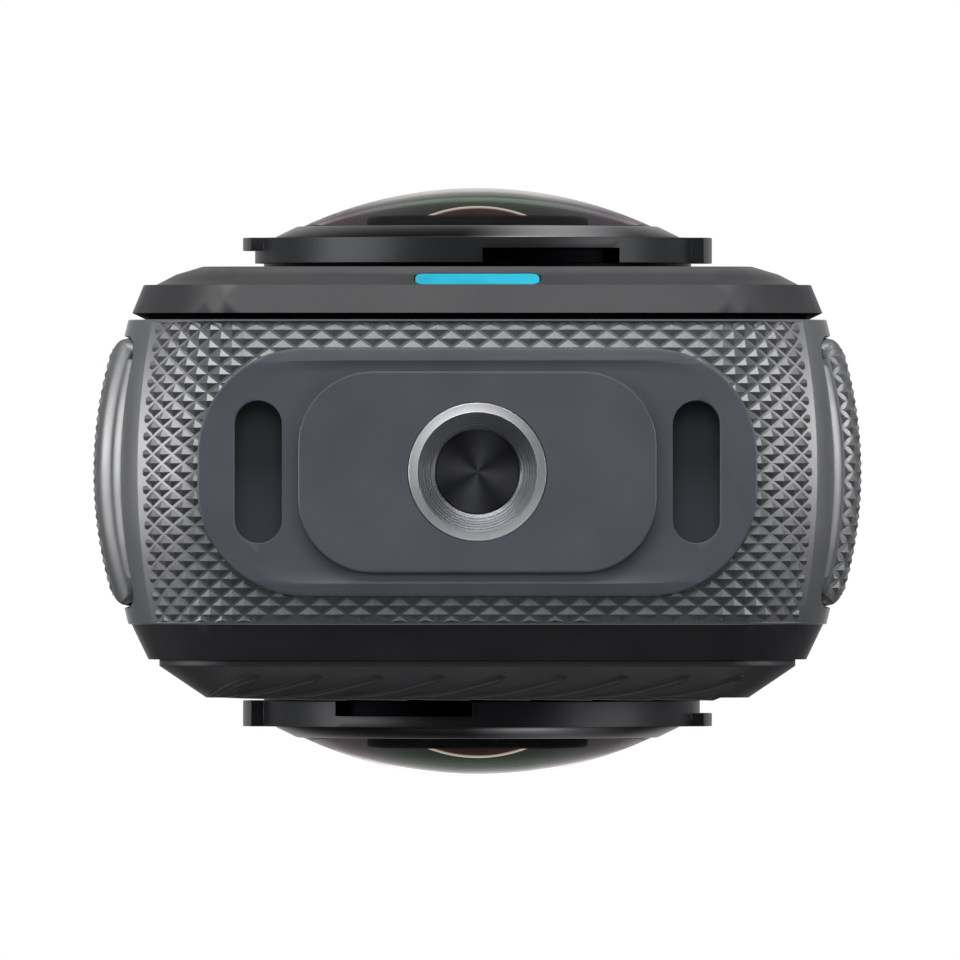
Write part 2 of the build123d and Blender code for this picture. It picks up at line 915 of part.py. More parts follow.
def rear_grip_panel():
    """Ribbed rubber panel with a sloped edge, bonded on the rear cover."""
    rim = ring_of([(panel_inset, rear_ledge), (panel_inset, rear_ledge + panel_step),
                   (panel_face_inset, rear_face), (rear_plate_inset(), rear_face),
                   (rear_plate_inset(), rear_ledge)])
    panel = rim + slab(outline(rear_plate_inset()), (rear_ledge, rear_face))
    for cut in rear_cuts():
        panel -= cut
    return panel


def cover_screws():
    """Six screws from the rear cover into the mid frame."""
    screws = []
    for x, z in screw_places():
        screw = rod_y(x, z, screw_radius, screw_shank())
        screws.append(screw + rod_y(x, z, screw_head_radius, (rear_ledge - screw_head_thickness, rear_ledge)))
    return Compound(children=screws)


def speaker():
    """Speaker behind the rear cover."""
    y_span = (rear_inside - speaker_thickness, rear_inside)
    return block(both(speaker_half_width), y_span, (speaker_low, speaker_high))


def microphones():
    """Microphones against the inner faces of the covers."""
    mics = []
    for x, z, outer, inner, inward in mic_places():
        y_span = tuple(sorted((inner, inner + inward * mic_thickness)))
        mics.append(block((x - mic_half_width, x + mic_half_width), y_span,
                          (z - mic_half_height, z + mic_half_height)))
    return Compound(children=mics)


def mic_meshes():
    """Mesh discs over the microphone holes."""
    discs = []
    for x, z, outer, inner, inward in mic_places():
        discs.append(rod_y(x, z, mic_mesh_radius, tuple(sorted((outer, outer + inward * mic_mesh_thickness)))))
    return Compound(children=discs)


# Boards inside

def main_board():
    """Main board on the front of the web."""
    half = frame_inner_x - main_board_gap
    return block(both(half), (board_front, web_front), (shelf_top + main_board_gap, main_board_top))


def shield_cans():
    """Two shield cans on the main board."""
    cans = []
    for side in (-1, 1):
        x_span = side_span(side, can_inner, can_outer)
        cans.append(prism_y(x_span, can_span, (board_front - can_height, board_front), can_corner))
    return Compound(children=cans)


def heat_spreader():
    """Copper plate on the back of the web."""
    y_span = (web_rear, web_rear + spreader_thickness)
    return block(both(frame_inner_x - spreader_margin), y_span, spreader_span)


def flex_cables():
    """Flat cables from the display and both sensor boards."""
    x_span = both(flex_half_width)
    sensor_low = lens_height - sensor_board_half
    display_back = front_face + screen_thickness + display_thickness
    flex_low = can_span[1] + flex_rise
    strips = [block(x_span, (display_back, board_front), (flex_low, flex_low + flex_thickness)),
              block(x_span, (web_front - flex_thickness, web_front), (main_board_top, sensor_low)),
              block(x_span, (web_rear, web_rear + flex_thickness), (spreader_span[1], sensor_low))]
    return Compound(children=strips)


# USB side

def hinge_notches():
    """Corners cut from the door's top beside its knuckle, for the ears."""
    notch_low = hinge_z - ear_radius - hinge_relief
    cut = None
    for span in ((door_knuckle_half, band_half_depth), (-band_half_depth, -door_knuckle_half)):
        piece = block((frame_inner_x, side_crown_x + overrun), span, (notch_low, door_top + overrun))
        cut = piece if cut is None else cut + piece
    return cut


def usb_door():
    """Crowned door over the USB port, with a hinge knuckle at its top."""
    door = side_cover(1, door_span)
    above = block((0, side_crown_x + overrun), both(band_half_depth), (hinge_z, door_top + overrun))
    door -= above - rod_y(hinge_x, hinge_z, door_nose, both(band_half_depth))
    door -= hinge_notches()
    return door - rod_y(hinge_x, hinge_z, pin_hinge_radius + pin_running_gap, both(band_half_depth))


def usb_door_seal():
    """Rubber seal on the inside of the door."""
    x_span = (side_inner_x - seal_thickness, side_inner_x)
    z_span = (door_seal_low, door_seal_high)
    seal = prism_x(both(door_seal_half), z_span, x_span, side_corner)
    inner = prism_x(both(door_seal_half - seal_width), grown(z_span, -seal_width),
                    grown(x_span, overrun), side_corner / 2)
    return seal - inner


def door_hinge_pin():
    """Steel pin of the door's hinge."""
    return rod_y(hinge_x, hinge_z, pin_hinge_radius, both(hinge_pin_half()))


def usb_shape(shrink, x_span):
    """Pill of the USB connector's shell, drawn in by a wall."""
    return pill_x(usb_height, usb_long_half - shrink, usb_short_half - shrink, x_span)


def usb_reach():
    """X limits of the USB connector."""
    mouth = frame_outer_x - usb_set_back
    return (mouth - usb_length, mouth)


def usb_connector():
    """USB connector with its shell and tongue."""
    low, high = usb_reach()
    shell = usb_shape(0, (low, high)) - usb_shape(usb_shell, (low + usb_shell, high + overrun))
    tongue = block((low, high - 2 * usb_shell), both(usb_tongue_thickness / 2),
                   grown((usb_height, usb_height), usb_tongue_half))
    return shell + tongue


def card_depth():
    """Depth limits of the memory card, in the middle of its socket."""
    middle = usb_short_half - socket_wall - card_gap - card_thickness / 2
    return (middle - card_thickness / 2, middle + card_thickness / 2)


def card_rise():
    """Height limits of the memory card."""
    return (card_height - card_half_width, card_height + card_half_width)


def card_window(x_span):
    """Slot that clears the memory card all round."""
    return block(x_span, grown(card_depth(), card_gap), grown(card_rise(), card_gap))


def memory_card():
    """Memory card, pushed in until it latches."""
    outer = frame_outer_x + card_proud
    return block((outer - card_length, outer), card_depth(), card_rise())


def card_socket():
    """Socket round the memory card, on the side board."""
    inner = frame_outer_x + card_proud - card_length - card_travel - card_gap - socket_wall
    y_span = grown(card_depth(), card_gap + socket_wall)
    socket = block((inner, frame_inner_x), y_span, grown(card_rise(), card_gap + socket_wall))
    return socket - card_window((inner + socket_wall, frame_inner_x + overrun))


def side_board():
    """Board that carries the USB connector and the card socket."""
    x_span = (bay_end + bay_wall, frame_inner_x)
    y_span = (usb_short_half, usb_short_half + side_board_thickness)
    return block(x_span, y_span, (foot_top, shelf_low))


# Side buttons

def button_shape(grow, x_span, height):
    """Rounded block of a side button, grown by a gap."""
    return pill_x(height, button_half_length + grow, button_half_depth + grow, x_span)


def flange_reach():
    """X limits of a side button's flange, with room for its travel behind."""
    inner = frame_outer_x + button_travel + screen_gap
    return (inner, inner + flange_thickness)


def button_panel():
    """Smooth crowned panel that holds the side buttons."""
    crown_x = body_half_width + panel_proud
    panel = crowned(1, frame_outer_x, crown_x, panel_half_depth, panel_sag, button_panel_span)
    panel &= prism_x(both(panel_half_depth), button_panel_span, (0, crown_x + overrun), panel_corner)
    outer = panel.faces().sort_by(Axis.X)[-1]
    panel = fillet(outer.edges(), side_edge_round)
    for height in side_button_heights:
        panel -= button_shape(button_gap, (0, crown_x + overrun), height)
        pocket = (0, flange_reach()[1] + button_gap)
        panel -= button_shape(button_gap + button_flange, pocket, height)
    return panel


def side_button(height):
    """Side button with a crowned cap and a flange."""
    crown_x = body_half_width + panel_proud + button_proud
    inner, shoulder = flange_reach()
    z_span = grown((height, height), button_half_length)
    sag = panel_sag * (button_half_depth / panel_half_depth) ** 2
    cap = crowned(1, inner, crown_x, button_half_depth, sag, z_span)
    cap &= button_shape(0, (0, crown_x + overrun), height)
    return cap + button_shape(button_flange, (inner, shoulder), height)


def side_switches():
    """Switches in the frame's wall, one behind each side button."""
    x_span = (frame_inner_x, frame_outer_x)
    return Compound(children=[rod_x(0, height, switch_radius, x_span) for height in side_button_heights])


# Lens modules

def lens_frames():
    """Where each lens module stands: its axis points out of its own face."""
    front = Plane((0, mid_plane, lens_height), (1, 0, 0), (0, -1, 0))
    rear = Plane((0, mid_plane, lens_height), (-1, 0, 0), (0, 1, 0))
    return {"front": front.location, "rear": rear.location}


def turned(outline_edges):
    """Solid of revolution about a lens axis, from edges of radius and height."""
    return revolve(Plane.XZ * make_face(outline_edges), Axis.Z, 360)


def turned_points(points):
    """Solid of revolution from straight edges through radius and height points."""
    return turned(Polyline(*points, close=True))


def tube(outer, inner, low, high):
    """Plain ring about the lens axis."""
    return turned_points([(inner, low), (outer, low), (outer, high), (inner, high)])


def bayonet_ring():
    """Ring with bayonet lugs that a lens guard turns onto."""
    ring = turned_points([(ring_bore, face_reach), (flange_radius, face_reach), (flange_radius, ring_low),
                          (ring_radius, ring_low), (ring_radius, ring_high), (ring_bore, ring_high)])
    lug_outer = ring_radius + lug_reach
    lugs = tube(lug_outer, flange_radius, ring_low, ring_high)
    right = block((0, lug_outer + overrun), both(lug_half_width), (0, ring_high))
    left = block((-lug_outer - overrun, 0), both(lug_half_width), (ring_high - lug_hook_drop, ring_high))
    ring += (lugs & right) + (lugs & left)
    notch = tube(ring_radius + overrun, ring_radius - notch_depth, ring_low - overrun, ring_low + notch_height)
    notch &= block((notch_from, notch_to), (-ring_radius - overrun, 0), (ring_low, ring_high))
    return ring - notch


def lens_bezel():
    """Cone-shaped bezel that holds the glass dome."""
    return turned_points([(ring_bore, ring_high), (bezel_foot_radius, ring_high),
                          (bezel_top_radius, bezel_top), (dome_chord + dome_fit, bezel_top),
                          (dome_chord + dome_fit, ring_high)])


def lens_dome():
    """Domed front glass, a shell with a short skirt."""
    apex = bezel_top + dome_sag
    inside = dome_chord - dome_wall
    outer = TangentArc((0, apex), (dome_chord, bezel_top), tangent=(1, 0))
    inner = TangentArc((0, apex - dome_wall), (inside, bezel_top), tangent=(1, 0))
    sides = Polyline((dome_chord, bezel_top), (dome_chord, dome_seat), (inside, dome_seat), (inside, bezel_top))
    return turned(outer + sides + inner + Line((0, apex - dome_wall), (0, apex)))


def lens_barrel():
    """Lens barrel that carries the dome, the baffle and the lenses in it."""
    seat_radius = ring_bore - dome_fit
    low = web_thickness / 2 + sensor_board_thickness
    return turned_points([(barrel_bore, low), (barrel_radius, low), (barrel_radius, barrel_neck),
                          (seat_radius, barrel_shoulder), (seat_radius, dome_seat), (barrel_bore, dome_seat)])


def lens_baffle():
    """Black stepped ring under the dome."""
    return turned_points([(baffle_bore, dome_seat), (baffle_foot_radius, dome_seat),
                          (baffle_foot_radius, baffle_foot_top), (baffle_radius, baffle_foot_top),
                          (baffle_radius, baffle_top), (baffle_bore, baffle_top)])


def inner_lens():
    """Inner lens in the middle of the baffle."""
    top = TangentArc((0, inner_lens_top), (baffle_bore, inner_lens_rim), tangent=(1, 0))
    sides = Polyline((baffle_bore, inner_lens_rim), (baffle_bore, inner_lens_low), (0, inner_lens_low),
                     (0, inner_lens_top))
    return turned(top + sides)


def relay_lenses():
    """Two lenses deeper in the barrel."""
    radius = barrel_bore - relay_fit
    lenses = []
    for low in (relay_low, relay_high):
        top = low + relay_thickness
        arc = TangentArc((0, top + relay_bulge), (radius, top), tangent=(1, 0))
        sides = Polyline((radius, top), (radius, low), (0, low), (0, top + relay_bulge))
        lenses.append(turned(arc + sides))
    return lenses


def sensor_board():
    """Square board with the image sensor, on the web."""
    low = web_thickness / 2
    return block(both(sensor_board_half), both(sensor_board_half), (low, low + sensor_board_thickness))


def build():
    """Every piece of the camera by name."""
    blank = band_blank()
    front = front_blank()
    pieces = {
        "grip_band": grip_band(blank),
        "base_pad": base_pad(blank),
        "tripod_bushing": tripod_bushing(),
        "mount_magnets": mount_magnets(),
        "mid_frame": mid_frame(),
        "foot_block": foot_block(),
        "battery_bay": battery_bay(),
        "battery_contacts": battery_contacts(),
        "battery_pack": battery_pack(),
        "battery_terminals": battery_terminals(),
        "battery_cover": battery_cover(),
        "battery_latch": battery_latch(),
        "battery_seal": battery_seal(),
        "front_cover": front_cover(front),
        "light_bar": light_bar(),
        "screen_glass": screen_glass(),
        "display_panel": display_panel(),
        "shutter_button": front_button("shutter_button"),
        "mode_button": front_button("mode_button"),
        "front_switch_board": front_switch_board(),
        "front_gasket": gasket((front_edge, -frame_half_depth)),
        "rear_gasket": gasket((frame_half_depth, rear_edge)),
        "rear_cover": rear_cover(),
        "rear_grip_panel": rear_grip_panel(),
        "cover_screws": cover_screws(),
        "speaker": speaker(),
        "microphones": microphones(),
        "mic_meshes": mic_meshes(),
        "main_board": main_board(),
        "shield_cans": shield_cans(),
        "heat_spreader": heat_spreader(),
        "flex_cables": flex_cables(),
        "usb_door": usb_door(),
        "usb_door_seal": usb_door_seal(),
        "door_hinge_pin": door_hinge_pin(),
        "usb_connector": usb_connector(),
        "memory_card": memory_card(),
        "card_socket": card_socket(),
        "side_board": side_board(),
        "button_panel": button_panel(),
        "power_button": side_button(power_height),
        "quick_button": side_button(quick_height),
        "side_switches": side_switches(),
    }
    for side, place in lens_frames().items():
        pieces[side + "_bayonet_ring"] = place * bayonet_ring()
        pieces[side + "_lens_bezel"] = place * lens_bezel()
        pieces[side + "_lens_dome"] = place * lens_dome()
        pieces[side + "_lens_barrel"] = place * lens_barrel()
        pieces[side + "_lens_baffle"] = place * lens_baffle()
        pieces[side + "_inner_lens"] = place * inner_lens()
        pieces[side + "_relay_lenses"] = Compound(children=[place * lens for lens in relay_lenses()])
        pieces[side + "_sensor_board"] = place * sensor_board()
    return pieces


os.makedirs("parts", exist_ok=True)
for name, solid in build().items():
    export_step(solid, "parts/" + name + ".step")
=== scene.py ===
import math

import bmesh
import bpy
from mathutils import Matrix, Vector


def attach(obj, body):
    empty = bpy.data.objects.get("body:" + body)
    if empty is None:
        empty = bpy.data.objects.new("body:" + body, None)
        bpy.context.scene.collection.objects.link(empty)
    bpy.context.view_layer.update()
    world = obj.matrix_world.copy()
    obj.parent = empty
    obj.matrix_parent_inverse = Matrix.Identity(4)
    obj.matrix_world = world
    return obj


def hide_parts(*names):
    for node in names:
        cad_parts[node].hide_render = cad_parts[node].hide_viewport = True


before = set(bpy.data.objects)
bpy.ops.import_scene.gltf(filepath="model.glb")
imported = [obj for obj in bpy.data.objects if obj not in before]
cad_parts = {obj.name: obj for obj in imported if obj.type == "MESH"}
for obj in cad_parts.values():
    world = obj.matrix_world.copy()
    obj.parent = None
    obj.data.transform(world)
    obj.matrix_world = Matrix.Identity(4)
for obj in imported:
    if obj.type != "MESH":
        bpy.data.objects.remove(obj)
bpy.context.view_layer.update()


# Grip band
# A moulded rubber band runs round the whole body and holds both shells together.
# Its outer face is crowned, with fields of small pyramids and smooth margins.

MM = 0.001
BODY_HEIGHT = 124.5
BODY_HALF_WIDTH = 22.0
FOOT_CORNER = 8.0
HEAD_CORNER = 17.0
BAND_HALF_DEPTH = 9.1
BAND_CROWN_RADIUS = 36.58
BAND_WALL = 2.4
FOOT_HALF = BODY_HALF_WIDTH - FOOT_CORNER
HEAD_HALF = BODY_HALF_WIDTH - HEAD_CORNER
SIDE_LENGTH = BODY_HEIGHT - FOOT_CORNER - HEAD_CORNER
FOOT_ARC = FOOT_CORNER * math.pi / 2
HEAD_ARC = HEAD_CORNER * math.pi / 2
HALF_GIRTH = FOOT_HALF + FOOT_ARC + SIDE_LENGTH + HEAD_ARC + HEAD_HALF
STUDS_ROUND = 204
STUD_LENGTH = 2 * HALF_GIRTH / STUDS_ROUND
STUD_WIDTH = 1.06
STUD_RISE = 0.2
STUD_SINK = 0.05
STUD_GROOVE = 0.07
SMALLEST_STUD = 0.06
WHOLE_STUD_SHARE = 0.36
FIELD_DROP = 0.23
RIM_WIDTH = 0.1
RIM_ROUND = 0.05
RIM_DROP = 0.06
RIM_STEP = 0.03
FIELD_WALL = 0.06
BASE_FIELD = 21.15
GIRTH_TO_SIDE = FOOT_HALF + FOOT_ARC - FOOT_CORNER
LEFT_FIELD_FOOT = 61.2
RIGHT_FIELD_FOOT = 82.6
LEFT_FIELD = -(GIRTH_TO_SIDE + LEFT_FIELD_FOOT)
RIGHT_FIELD = GIRTH_TO_SIDE + RIGHT_FIELD_FOOT
PAD_HALF_LENGTH = 16.67
PAD_HALF_DEPTH = 7.4
PAD_CORNER = 6.4

# Side, foot, top, half depth and corner of the openings for the battery cover,
# the door and the button panel.
BAND_WINDOWS = ((-1, 4.7, 58.7, 8.12, 1.4), (1, 4.7, 46.1, 8.12, 1.4),
                (1, 49.5, 80.5, 5.2, 4.2))


def colour(red, green, blue):
    """Linear colour from screen values of 0 to 255."""
    values = []
    for part in (red, green, blue):
        part /= 255
        values.append(part / 12.92 if part <= 0.04045 else ((part + 0.055) / 1.055) ** 2.4)
    return (*values, 1)


class Wire:
    """A shader socket. Sums written with it become Math nodes."""

    def __init__(self, finish, socket):
        self.finish = finish
        self.socket = socket

    def combine(self, operation, first, second):
        return self.finish.node("Math", {"operation": operation}, {0: first, 1: second})

    def __add__(self, other):
        return self.combine("ADD", self, other)

    __radd__ = __add__

    def __sub__(self, other):
        return self.combine("SUBTRACT", self, other)

    def __rsub__(self, other):
        return self.combine("SUBTRACT", other, self)

    def __mul__(self, other):
        return self.combine("MULTIPLY", self, other)

    __rmul__ = __mul__


class Nodes:
    """Adds nodes to one node tree."""

    def __init__(self, tree):
        self.tree = tree

    def node(self, kind, settings=None, sockets=None, output=0):
        made = self.tree.nodes.new("ShaderNode" + kind)
        for key, value in (settings or {}).items():
            if key == "stops":
                for index, (spot, shade) in enumerate(value):
                    ends = made.color_ramp.elements
                    stop = ends[index] if index < 2 else ends.new(spot)
                    stop.position = spot
                    stop.color = shade
            else:
                setattr(made, key, value)
        for key, value in (sockets or {}).items():
            if isinstance(value, Wire):
                self.tree.links.new(value.socket, made.inputs[key])
            else:
                made.inputs[key].default_value = value
        return Wire(self, made.outputs[output])

    def spread(self, value, low, high, to_low=0.0, to_high=1.0):
        sockets = {"Value": value, "From Min": low, "From Max": high,
                   "To Min": to_low, "To Max": to_high}
        return self.node("MapRange", {}, sockets, "Result")


class Finish(Nodes):
    """A named material with one Principled shader and the nodes that feed it."""

    def __init__(self, name, constants):
        self.material = bpy.data.materials.new(name)
        self.material.use_nodes = True
        super().__init__(self.material.node_tree)
        self.shader = self.tree.nodes["Principled BSDF"]
        for socket, value in constants.items():
            self.shader.inputs[socket].default_value = value
        self.place = self.node("TexCoord", output="Object")

    def noise(self, per_mm, detail=2.0):
        sockets = {"Vector": self.place, "Scale": per_mm / MM, "Detail": detail}
        return self.node("TexNoise", {}, sockets, "Fac")

    def blend(self, share, first, second):
        return self.node("Mix", {"data_type": "RGBA"}, {0: share, 6: first, 7: second}, 2)

    def feed(self, socket, value):
        self.tree.links.new(value.socket, self.shader.inputs[socket])

    def bumped(self, height, depth_mm):
        sockets = {"Height": height, "Distance": depth_mm * MM}
        self.feed("Normal", self.node("Bump", {}, sockets, "Normal"))


def moulded(name, dark, light, roughness, grain_per_mm, grain_depth, constants):
    """Moulded plastic or rubber: fine grain, slow changes of tone, uneven gloss."""
    finish = Finish(name, constants)
    tone = finish.spread(finish.noise(0.18, 3.0), 0.35, 0.65)
    speck = finish.noise(grain_per_mm, 2.0)
    finish.feed("Base Color", finish.blend(tone * 0.7 + speck * 0.3, dark, light))
    gloss = speck * 0.5 + tone * 0.5
    finish.feed("Roughness", finish.spread(gloss, 0.2, 0.8, roughness - 0.05, roughness + 0.06))
    finish.bumped(speck, grain_depth)
    return finish.material


def crown_drop(depth):
    """How far the band's crowned face falls away at a depth from its middle."""
    return BAND_CROWN_RADIUS - math.sqrt(BAND_CROWN_RADIUS ** 2 - depth ** 2)


def girth_point(length, depth, inset):
    """Point of the band at a length round the body from the foot's middle."""
    if length > HALF_GIRTH:
        length -= 2 * HALF_GIRTH
    side = 1 if length >= 0 else -1
    rest = abs(length)
    inset += crown_drop(depth)
    if rest <= FOOT_HALF:
        x, z, turn = rest, 0.0, 0.0
    elif rest <= FOOT_HALF + FOOT_ARC:
        turn = (rest - FOOT_HALF) / FOOT_CORNER
        x = FOOT_HALF + FOOT_CORNER * math.sin(turn)
        z = FOOT_CORNER - FOOT_CORNER * math.cos(turn)
    elif rest <= FOOT_HALF + FOOT_ARC + SIDE_LENGTH:
        x, z, turn = BODY_HALF_WIDTH, FOOT_CORNER + rest - FOOT_HALF - FOOT_ARC, math.pi / 2
    elif rest <= HALF_GIRTH - HEAD_HALF:
        turn = math.pi / 2 + (rest - FOOT_HALF - FOOT_ARC - SIDE_LENGTH) / HEAD_CORNER
        x = HEAD_HALF + HEAD_CORNER * math.sin(turn)
        z = BODY_HEIGHT - HEAD_CORNER - HEAD_CORNER * math.cos(turn)
    else:
        x, z, turn = HALF_GIRTH - rest, BODY_HEIGHT, math.pi
    x -= inset * math.sin(turn)
    z += inset * math.cos(turn)
    return Vector((side * x * MM, depth * MM, z * MM))


def finished(name, bm, material, body, nodes, edge_angle):
    """Turn a bmesh into a finished piece that rides on a body and stands for CAD nodes."""
    mesh = bpy.data.meshes.new(name)
    bm.to_mesh(mesh)
    bm.free()
    mesh.polygons.foreach_set("use_smooth", [True] * len(mesh.polygons))
    mesh.set_sharp_from_angle(angle=math.radians(edge_angle))
    mesh.materials.clear()
    mesh.materials.append(material)
    piece = bpy.data.objects.new(name, mesh)
    bpy.context.scene.collection.objects.link(piece)
    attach(piece, body)
    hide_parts(*nodes)
    return piece


def grid_values(stops):
    """Evenly stepped values between stops given as (value, steps to the next)."""
    values = []
    for (low, count), (high, _) in zip(stops, stops[1:]):
        values += [low + (high - low) * step / count for step in range(count)]
    return values + [stops[-1][0]]


def weld(bm, distance=0.002):
    """Merge points closer than a distance in mm."""
    bmesh.ops.remove_doubles(bm, verts=bm.verts[:], dist=distance * MM)


def swept_grid(lengths, section_count):
    """Grid whose X and Y become whole numbers: a station and a place in the section."""
    bm = bmesh.new()
    bmesh.ops.create_grid(bm, x_segments=len(lengths) - 1, y_segments=section_count - 1, size=0.5)
    for vert in bm.verts:
        vert.co.x = round((vert.co.x + 0.5) * (len(lengths) - 1))
        vert.co.y = round((vert.co.y + 0.5) * (section_count - 1))
    return bm


def in_field(length):
    """Whether the band carries pyramids at this length round the body."""
    return abs(length) < BASE_FIELD or length < LEFT_FIELD or length > RIGHT_FIELD


def rounded_prism(half_a, half_b, corner, foot, travel):
    """Closed prism of a rounded rectangle, drawn up along Z from its foot. Sizes in mm."""
    bm = bmesh.new()
    made = bmesh.ops.create_grid(bm, x_segments=1, y_segments=1, size=1.0)
    for vert in made["verts"]:
        vert.co.x *= half_a * MM
        vert.co.y *= half_b * MM
    bmesh.ops.bevel(bm, geom=made["verts"], offset=corner * MM, affect="VERTICES", segments=8,
                    profile=0.5, material=-1, offset_type="OFFSET")
    drawn = bmesh.ops.extrude_face_region(bm, geom=bm.faces[:], use_keep_orig=True)
    moved = [item for item in drawn["geom"] if isinstance(item, bmesh.types.BMVert)]
    bmesh.ops.translate(bm, verts=moved, vec=(0, 0, travel * MM))
    bmesh.ops.translate(bm, verts=bm.verts[:], vec=(0, 0, foot * MM))
    bmesh.ops.recalc_face_normals(bm, faces=bm.faces[:])
    return bm


def cutter(name, bm):
    """Plain object made from a bmesh, for one cut."""
    mesh = bpy.data.meshes.new(name)
    bm.to_mesh(mesh)
    bm.free()
    tool = bpy.data.objects.new(name, mesh)
    bpy.context.scene.collection.objects.link(tool)
    return tool


def carved(bm, tools):
    """Cut a bmesh with a list of closed bmeshes."""
    blank = cutter("blank", bm)
    cutters = [cutter("cutter", tool) for tool in tools]
    for tool in cutters:
        change = blank.modifiers.new("cut", "BOOLEAN")
        change.operation = "DIFFERENCE"
        change.solver = "EXACT"
        change.object = tool
    result = bmesh.new()
    result.from_object(blank, bpy.context.evaluated_depsgraph_get())
    for item in [blank] + cutters:
        mesh = item.data
        bpy.data.objects.remove(item)
        bpy.data.meshes.remove(mesh)
    return result


def window_tool(side, low, high, half_depth, corner):
    """Prism through one side of the band."""
    bm = rounded_prism((high - low) / 2, half_depth, corner, 0, 12)
    turn = Matrix.Rotation(math.radians(90 * side), 4, "Y")
    place = Matrix.Translation((side * FOOT_HALF * MM, 0, (low + high) / 2 * MM))
    bmesh.ops.transform(bm, matrix=place @ turn, verts=bm.verts[:])
    return bm


def pad_tool():
    """Upright prism of the base pad's outline."""
    return rounded_prism(PAD_HALF_LENGTH, PAD_HALF_DEPTH, PAD_CORNER, -3, 11)


def band_lengths():
    """Stations round the body, closer together where it bends and where a field ends."""
    half = grid_values([(0, 14), (FOOT_HALF, 14), (BASE_FIELD, 1), (BASE_FIELD + FIELD_WALL, 12),
                        (FOOT_HALF + FOOT_ARC, 40), (FOOT_HALF + FOOT_ARC + SIDE_LENGTH, 36),
                        (HALF_GIRTH - HEAD_HALF, 5), (HALF_GIRTH, 1)])
    edges = [LEFT_FIELD, LEFT_FIELD + FIELD_WALL, RIGHT_FIELD - FIELD_WALL, RIGHT_FIELD]
    return sorted([-value for value in half if value > 0] + half + edges)


def band_mesh():
    """The band with its sunk fields, its rims and its openings."""
    lengths = band_lengths()
    rim = BAND_HALF_DEPTH - RIM_WIDTH
    outer = grid_values([(-BAND_HALF_DEPTH, 1), (RIM_ROUND - BAND_HALF_DEPTH, 1), (-rim, 1),
                         (RIM_STEP - rim, 22), (rim - RIM_STEP, 1), (rim, 1),
                         (BAND_HALF_DEPTH - RIM_ROUND, 1), (BAND_HALF_DEPTH, 1)])
    inner = [BAND_HALF_DEPTH, 0.0, -BAND_HALF_DEPTH]
    count = len(outer) + len(inner)
    bm = swept_grid(lengths, count + 1)
    for vert in bm.verts:
        length = lengths[int(vert.co.x)]
        index = int(vert.co.y) % count
        if index < len(outer):
            depth = outer[index]
            sunk = in_field(length) and abs(depth) < rim - 0.01
            edge_drop = RIM_DROP if abs(depth) == BAND_HALF_DEPTH else 0.0
            vert.co = girth_point(length, depth, FIELD_DROP if sunk else edge_drop)
        else:
            depth = inner[index - len(outer)]
            vert.co = girth_point(length, depth, BAND_WALL - crown_drop(depth))
    weld(bm)
    bmesh.ops.recalc_face_normals(bm, faces=bm.faces[:])
    return carved(bm, [pad_tool()] + [window_tool(*window) for window in BAND_WINDOWS])


def stud_sheet(low, high, half_width, length=STUD_LENGTH, groove=STUD_GROOVE, rise=STUD_RISE):
    """Field of closed pyramids in a flat sheet, X along the field and Y across it."""
    across = math.ceil((high - low) / length + 2 * half_width / STUD_WIDTH) + 4
    start = round((low + high) / 2 / length) * length
    bm = bmesh.new()
    bmesh.ops.create_grid(bm, x_segments=across * 2, y_segments=across * 2, size=1.0)
    unit = 2.0 / (across * 2)
    for vert in bm.verts:
        u, v = round(vert.co.x / unit), round(vert.co.y / unit)
        along = start + (u - v + 1) * length / 2 - length / 2
        vert.co = Vector((along, (u + v) * STUD_WIDTH / 2, 0))
    for spot, normal in (((low, 0, 0), (-1, 0, 0)), ((high, 0, 0), (1, 0, 0)),
                         ((0, half_width, 0), (0, 1, 0)), ((0, -half_width, 0), (0, -1, 0))):
        bmesh.ops.bisect_plane(bm, geom=bm.verts[:] + bm.edges[:] + bm.faces[:], dist=1e-4,
                               plane_co=spot, plane_no=normal, clear_outer=True)
    small = [face for face in bm.faces if face.calc_area() < SMALLEST_STUD]
    bmesh.ops.delete(bm, geom=small, context="FACES")
    bmesh.ops.split_edges(bm, edges=bm.edges[:])
    made = bmesh.ops.inset_individual(bm, faces=bm.faces[:], thickness=groove, use_even_offset=True)
    bmesh.ops.delete(bm, geom=made["faces"], context="FACES")
    bmesh.ops.delete(bm, geom=[vert for vert in bm.verts if not vert.link_faces], context="VERTS")
    bases = bm.faces[:]
    for face in bases:
        face.normal_update()
        if face.normal.z < 0:
            face.normal_flip()
    drawn = bmesh.ops.extrude_face_region(bm, geom=bases, use_keep_orig=True)
    moved = [item for item in drawn["geom"] if isinstance(item, bmesh.types.BMVert)]
    tops = [item for item in drawn["geom"] if isinstance(item, bmesh.types.BMFace)]
    bmesh.ops.translate(bm, verts=moved, vec=(0, 0, STUD_SINK))
    full = length * STUD_WIDTH * WHOLE_STUD_SHARE
    for share in (0.25, 0.5, 0.75, 1.0):
        alike = [top for top in tops if share - 0.25 < min(1.0, top.calc_area() / full) <= share]
        tops = [top for top in tops if top not in set(alike)]
        bmesh.ops.poke(bm, faces=alike, offset=rise * share)
    bmesh.ops.recalc_face_normals(bm, faces=bm.faces[:])
    return bm


def on_band(bm):
    """Lay a sheet of studs on the band's sunk field."""
    for vert in bm.verts:
        height = vert.co.z - STUD_SINK
        vert.co = girth_point(vert.co.x, vert.co.y, FIELD_DROP - height)
    return bm


RUBBER = moulded("grip rubber", colour(45, 47, 51), colour(53, 55, 59), 0.36, 9.0, 0.004,
                 {"Specular IOR Level": 1.0, "Coat Weight": 0.35, "Coat Roughness": 0.34})

